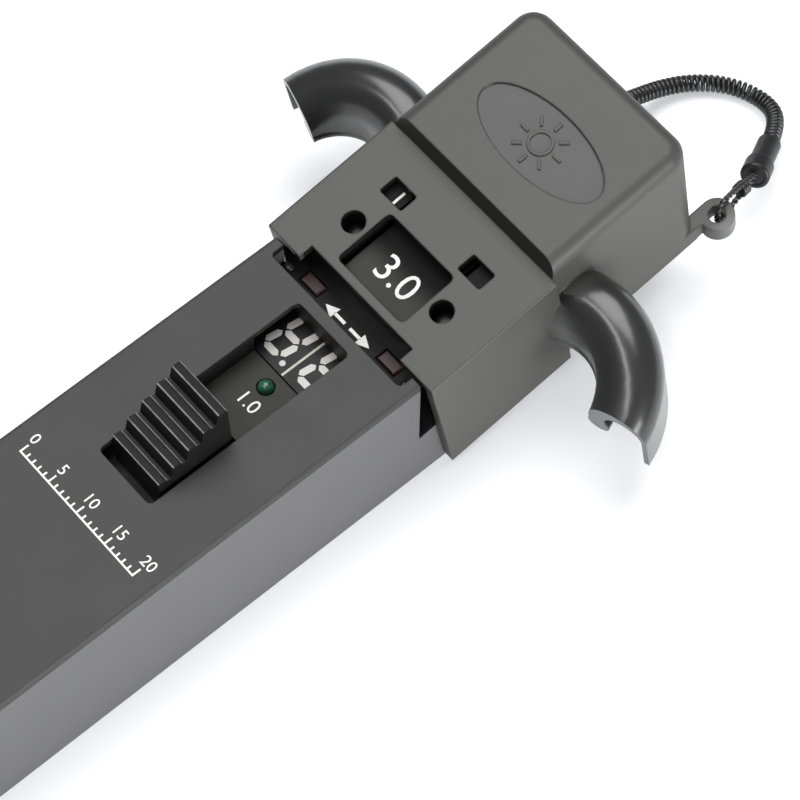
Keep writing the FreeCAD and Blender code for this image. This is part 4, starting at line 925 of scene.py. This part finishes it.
# Raised sign in the hood's oval. A round lamp with eight rays, a few tenths of a millimetre high.
# It is moulded with the hood in the same ABS, and its edges catch the light.
SIGN_GREY = (0.066, 0.066, 0.063, 1)
SIGN_AT = (1.0, 34.4, 2.64)
SIGN_HIGH = 0.26 * MM
SIGN_TURNS = 40
RING_INNER = 1.5 * MM
RING_OUTER = 1.95 * MM
RAY = oblong(2.55, -0.22, 4.0, 0.22)
RAYS = 8
sign_shape = bmesh.new()
sign_place = HEAD @ at_mm(*SIGN_AT)
ring_profile = [(RING_INNER, 0), (RING_INNER, SIGN_HIGH), (RING_OUTER, SIGN_HIGH), (RING_OUTER, 0)]
ring_rows = [ring(sign_shape, radius, height, SIGN_TURNS, sign_place)
             for radius, height in ring_profile]
for lower, upper in zip(ring_rows, ring_rows[1:] + ring_rows[:1]):
    for step in range(SIGN_TURNS):
        after = (step + 1) % SIGN_TURNS
        sign_shape.faces.new((lower[step], lower[after], upper[after], upper[step]))
for ray in range(RAYS):
    spoke = sign_place @ Matrix.Rotation(math.tau * ray / RAYS, 4, "Z")
    flat_outline(sign_shape, in_mm(RAY), 0, SIGN_HIGH, spoke)
bmesh.ops.recalc_face_normals(sign_shape, faces=sign_shape.faces)
sign = piece("oval_sign", sign_shape, bare_plastic("sign_abs", SIGN_GREY, rough=0.45))
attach(sign, "hood")


# Tether. A curly cord of black polyurethane wire, wound close, that keeps the hood with the
# instrument. It is crimped in a stepped sleeve at the hood and on a slim plug at the case, and a
# loop of thin twisted cord ties each end on.
TETHER_ROUTE = [(10.0, 72.4, 6.0), (7.4, 77.2, 3.8), (2.5, 79.3, 1.7), (-2.9, 77.3, 1.6),
                (-6.9, 73.0, 1.9), (-8.9, 68.2, 2.7), (-9.1, 64.9, 4.1)]
COIL_WIRE = 0.68 * MM
COIL_RADIUS = 1.03 * MM
COIL_PITCH = 0.82 * MM
COIL_STEPS = 14
COIL_LEAD = 0.02
PLUG_LONG = 4.6 * MM


def nurbs_curve(name, lines, fineness):
    """A curve object with one smooth spline for each line of control points."""
    curve = bpy.data.curves.new(name, "CURVE")
    curve.dimensions = "3D"
    curve.resolution_u = fineness
    for points in lines:
        spline = curve.splines.new("NURBS")
        spline.points.add(len(points) - 1)
        for point, place in zip(spline.points, points):
            point.co = (*place, 1)
        spline.order_u = 3
        spline.use_endpoint_u = True
    return linked(name, curve)


def nurbs_line(name, route):
    """The points that lie along a smooth spline whose control points are a route."""
    holder = nurbs_curve(name, [route], fineness=24)
    mesh = plain_mesh(holder)
    along = [corner.co.copy() for corner in mesh.vertices]
    bpy.data.meshes.remove(mesh)
    bpy.data.objects.remove(holder)
    return along


def carried_frames(along, spacing):
    """Points evenly spaced along a line, each with two directions square to it that never spin."""
    lengths = [0.0]
    for first, second in zip(along, along[1:]):
        lengths.append(lengths[-1] + (second - first).length)
    count = max(2, round(lengths[-1] / spacing))
    rows = []
    side = None
    segment = 0
    for step in range(count + 1):
        reach = lengths[-1] * step / count
        while segment < len(along) - 2 and lengths[segment + 1] < reach:
            segment += 1
        ahead = (along[segment + 1] - along[segment]).normalized()
        spot = along[segment] + ahead * (reach - lengths[segment])
        if side is None:
            side = ahead.orthogonal().normalized()
        side = (side - ahead * side.dot(ahead)).normalized()
        rows.append((spot, side, ahead.cross(side)))
    return rows, lengths[-1]


def wound(along, radius, pitch, steps, turn=0.0, lead=0.0):
    """Points of a helix about a line; a lead share of its length at each end closes on the line."""
    rows, whole = carried_frames(along, pitch / steps)
    helix = []
    for number, (spot, side, other) in enumerate(rows):
        share = number / (len(rows) - 1)
        swell = min(1.0, share / lead, (1 - share) / lead) if lead else 1.0
        angle = turn + math.tau * whole * share / pitch
        helix.append(spot + (side * math.cos(angle) + other * math.sin(angle)) * radius * swell)
    return helix


def tube(name, lines, radius, material, sides=3):
    """Round tubes along lines of points, as one mesh with closed ends."""
    holder = nurbs_curve(name, lines, fineness=2)
    holder.data.bevel_depth = radius
    holder.data.bevel_resolution = sides
    holder.data.use_fill_caps = True
    mesh = plain_mesh(holder)
    bpy.data.objects.remove(holder)
    mesh.name = name
    painted(mesh, material)
    mesh.shade_smooth()
    mesh.set_sharp_from_angle(angle=math.radians(60))
    return linked(name, mesh)


cord_skin = two_tone("tether_skin", {"Specular IOR Level": 0.5, "Coat Weight": 0.25,
                                     "Coat Roughness": 0.2}, grain=2 * MM, rough=0.22,
                     dark=(0.010, 0.010, 0.011, 1), light=(0.022, 0.022, 0.023, 1))
route_m = [Vector(spot) * MM for spot in TETHER_ROUTE]
plug_way = (route_m[-1] - route_m[-2]).normalized()
plug_end = route_m[-1] + plug_way * PLUG_LONG
tether_line = nurbs_line("tether_line", route_m) + [plug_end]
tether_helix = wound(tether_line, COIL_RADIUS, COIL_PITCH, COIL_STEPS, lead=COIL_LEAD)
tether = tube("tether", [tether_helix], COIL_WIRE / 2, cord_skin)
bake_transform(tether)
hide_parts("tether_coil")

SLEEVE_BLACK = (0.013, 0.013, 0.014, 1)
SLEEVE_TURNS = 36
NECK, DRUM, RIM, STEP, SLEEVE = 1.8, 2.2, 0.25, 5.7, 8.9
MOUTH = SLEEVE - 0.12
DRUM_PROFILE = [(0, 0.02), (NECK - RIM, 0.02), (NECK, RIM), (NECK, STEP - RIM), (NECK + 0.1, STEP),
                (DRUM - RIM, STEP), (DRUM, STEP + RIM), (DRUM, SLEEVE - RIM), (DRUM - RIM, SLEEVE),
                (1.55, SLEEVE), (1.45, MOUTH), (0, MOUTH)]
PLUG_PROFILE = [(0, 0), (0.4, 0), (0.6, 0.3), (0.6, 4.2), (0.45, 4.5), (0, 4.5)]
# Its edges are painted lighter, as wear and as painted highlight.
sleeve_black = bare_plastic("sleeve_black", SLEEVE_BLACK, rough=0.32, depth=0.004 * MM, worn=4.0)


def crimp_sleeve(name, node, start, ahead, profile):
    """A turned sleeve in line with the cord's end."""
    place = Matrix.Translation(start) @ ahead.to_track_quat("Z", "Y").to_matrix().to_4x4()
    shape = bmesh.new()
    lathe(shape, in_mm(profile), SLEEVE_TURNS, place)
    made = piece(name, shape, sleeve_black)
    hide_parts(node)
    return made


sleeve_way = (route_m[0] - route_m[1]).normalized()
hood_end = route_m[0] + sleeve_way * SLEEVE * MM
hood_sleeve = crimp_sleeve("hood_sleeve", "hood_ferrule", route_m[0], sleeve_way, DRUM_PROFILE)
case_plug = crimp_sleeve("case_plug", "case_ferrule", route_m[-1], plug_way, PLUG_PROFILE)
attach(hood_sleeve, "hood")
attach(case_plug, "case")

LINK_STRAND = 0.27 * MM
LINK_TWIST = LINK_STRAND * 0.8
LINK_PITCH = 1.9 * MM
LINK_CLEAR = 0.7 * MM
KNOT_RADIUS = 0.95 * MM
KNOT_HALF = 0.9 * MM
KNOT_PITCH = 0.62 * MM
LUG_EYE = (16.5, 51.6, -24.7)
LUG_HALF = 1.6 * MM
LUG_RIM = 2.6 * MM
TAB_EYE = (-7.5, 50.8, -28.2)
TAB_HALF = 1.2 * MM
TAB_RIM = 2.2 * MM
SLEEVE_APART = 0.45 * MM
PLUG_APART = 0.3 * MM


def tied_loop(name, node, eye, half_thick, rim, end, apart):
    """A loop of two twisted strands through an eye and a knot, and back to the cord's end."""
    normal = HEAD.to_3x3() @ Vector((0, 0, 1))
    up = normal * (half_thick + LINK_CLEAR)
    out = end - eye
    out = (out - normal * out.dot(normal)).normalized() * (rim + LINK_CLEAR)
    spread = normal * apart
    route = [end + spread, eye + out + up, eye + up, eye - up, eye + out - up, end - spread]
    along = nurbs_line(f"{name}_line", route)
    strands = [wound(along, LINK_TWIST, LINK_PITCH, steps=12, turn=turn) for turn in (0, math.pi)]
    knot_at = (end + eye + out) / 2
    knot_way = (eye + out - end).normalized()
    knot_line = [knot_at - knot_way * KNOT_HALF, knot_at + knot_way * KNOT_HALF]
    strands.append(wound(knot_line, KNOT_RADIUS, KNOT_PITCH, steps=16))
    made = tube(name, strands, LINK_STRAND, cord_skin, sides=2)
    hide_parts(node)
    return made


lug_eye = HEAD @ (Vector(LUG_EYE) * MM)
tab_eye = HEAD @ (Vector(TAB_EYE) * MM)
hood_tie = tied_loop("hood_tie", "hood_link", lug_eye, LUG_HALF, LUG_RIM, hood_end, SLEEVE_APART)
case_tie = tied_loop("case_tie", "case_link", tab_eye, TAB_HALF, TAB_RIM, plug_end, PLUG_APART)
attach(hood_tie, "hood")
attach(case_tie, "case")
helix_length = sum((second - first).length
                   for first, second in zip(tether_helix, tether_helix[1:]))


# Studio. A white floor that is lifted to the photo's plain white away from the part, a large soft
# box high at the back on the left, a long strip over the near side for the wings' sheen, a low card
# on the right, and a pale room. The camera stands where the photographer's did.
FLOOR_HALF = 3
FLOOR_DARK = (0.86, 0.865, 0.88, 1)
FLOOR_LIGHT = (0.88, 0.885, 0.895, 1)
FLOOR_GLOW = (0.93, 0.95, 1.0, 1)
FLOOR_LIFT = 0.30
FAR_LIFT = 0.55
ROOM_TINT = (0.97, 0.98, 1.0, 1)
ROOM_LIGHT = 0.16
floor_shape = bmesh.new()
flat_outline(floor_shape, oblong(-FLOOR_HALF, -FLOOR_HALF, FLOOR_HALF, FLOOR_HALF), -0.01, 0)
floor_finish = Finish("floor_white", {"Specular IOR Level": 0.1, "Roughness": 0.7,
                                      "Emission Strength": 1.0})
floor_x, floor_y, _ = floor_finish.axes()
far_lift = (floor_x * floor_x + floor_y * floor_y).ramp(0.08, 0.8, 0.0, FAR_LIFT)
camera_ray = floor_finish.add("ShaderNodeLightPath", {}, {}, "Is Camera Ray")
glow = camera_ray * (far_lift + FLOOR_LIFT)
floor_finish.feed({"Base Color": floor_finish.mix(floor_finish.noise(0.4), FLOOR_DARK, FLOOR_LIGHT),
                   "Emission Color": floor_finish.mix(glow, (0, 0, 0, 1), FLOOR_GLOW)})
floor = piece("floor", floor_shape, floor_finish.material)


def soft_box(name, place, aim, wide, deep, watts):
    """A soft light with a width and a depth, that looks at a point."""
    lamp = bpy.data.lights.new(name, "AREA")
    lamp.shape = "RECTANGLE"
    lamp.size = wide
    lamp.size_y = deep
    lamp.energy = watts
    holder = linked(name, lamp)
    holder.location = place
    holder.rotation_euler = (Vector(aim) - Vector(place)).to_track_quat("-Z", "Y").to_euler()


soft_box("key_box", (-0.30, 0.30, 1.05), aim=(0, 0.02, 0.02), wide=0.9, deep=0.9, watts=11.2)
soft_box("wing_strip", (-0.03, -0.40, 0.95), aim=(0, 0.02, 0.02), wide=1.0, deep=0.13, watts=3.3)
soft_box("side_card", (0.85, -0.10, 0.16), aim=(0, 0, 0.02), wide=0.45, deep=0.45, watts=9.8)
room = bpy.data.worlds.new("studio_room")
room.use_nodes = True
backdrop = room.node_tree.nodes["Background"]
backdrop.inputs["Color"].default_value = ROOM_TINT
seen = room.node_tree.nodes.new("ShaderNodeLightPath")
level_of = room.node_tree.nodes.new("ShaderNodeMapRange")
level_of.inputs["To Min"].default_value = ROOM_LIGHT
level_of.inputs["To Max"].default_value = 1.0
room.node_tree.links.new(seen.outputs["Is Camera Ray"], level_of.inputs["Value"])
room.node_tree.links.new(level_of.outputs["Result"], backdrop.inputs["Strength"])
bpy.context.scene.world = room
bpy.context.scene.view_settings.view_transform = "Standard"

CAMERA_AT = Vector((168.55, -141.15, 426.15)) * MM
CAMERA_RIGHT = Vector((0.6527, 0.7576, 0.0096))
CAMERA_AHEAD = Vector((-0.3418, 0.3058, -0.8886))
CAMERA_LENS = 151.06
CAMERA_SENSOR = 36.0
view = bpy.data.cameras.new("photo_camera")
view.sensor_width = CAMERA_SENSOR
view.lens = CAMERA_LENS
view.clip_start = 0.01
back = -CAMERA_AHEAD.normalized()
right = (CAMERA_RIGHT - back * CAMERA_RIGHT.dot(back)).normalized()
turn = Matrix((right, back.cross(right), back)).transposed().to_4x4()
camera = linked("photo_camera", view)
camera.matrix_world = Matrix.Translation(CAMERA_AT) @ turn
bpy.context.scene.camera = camera
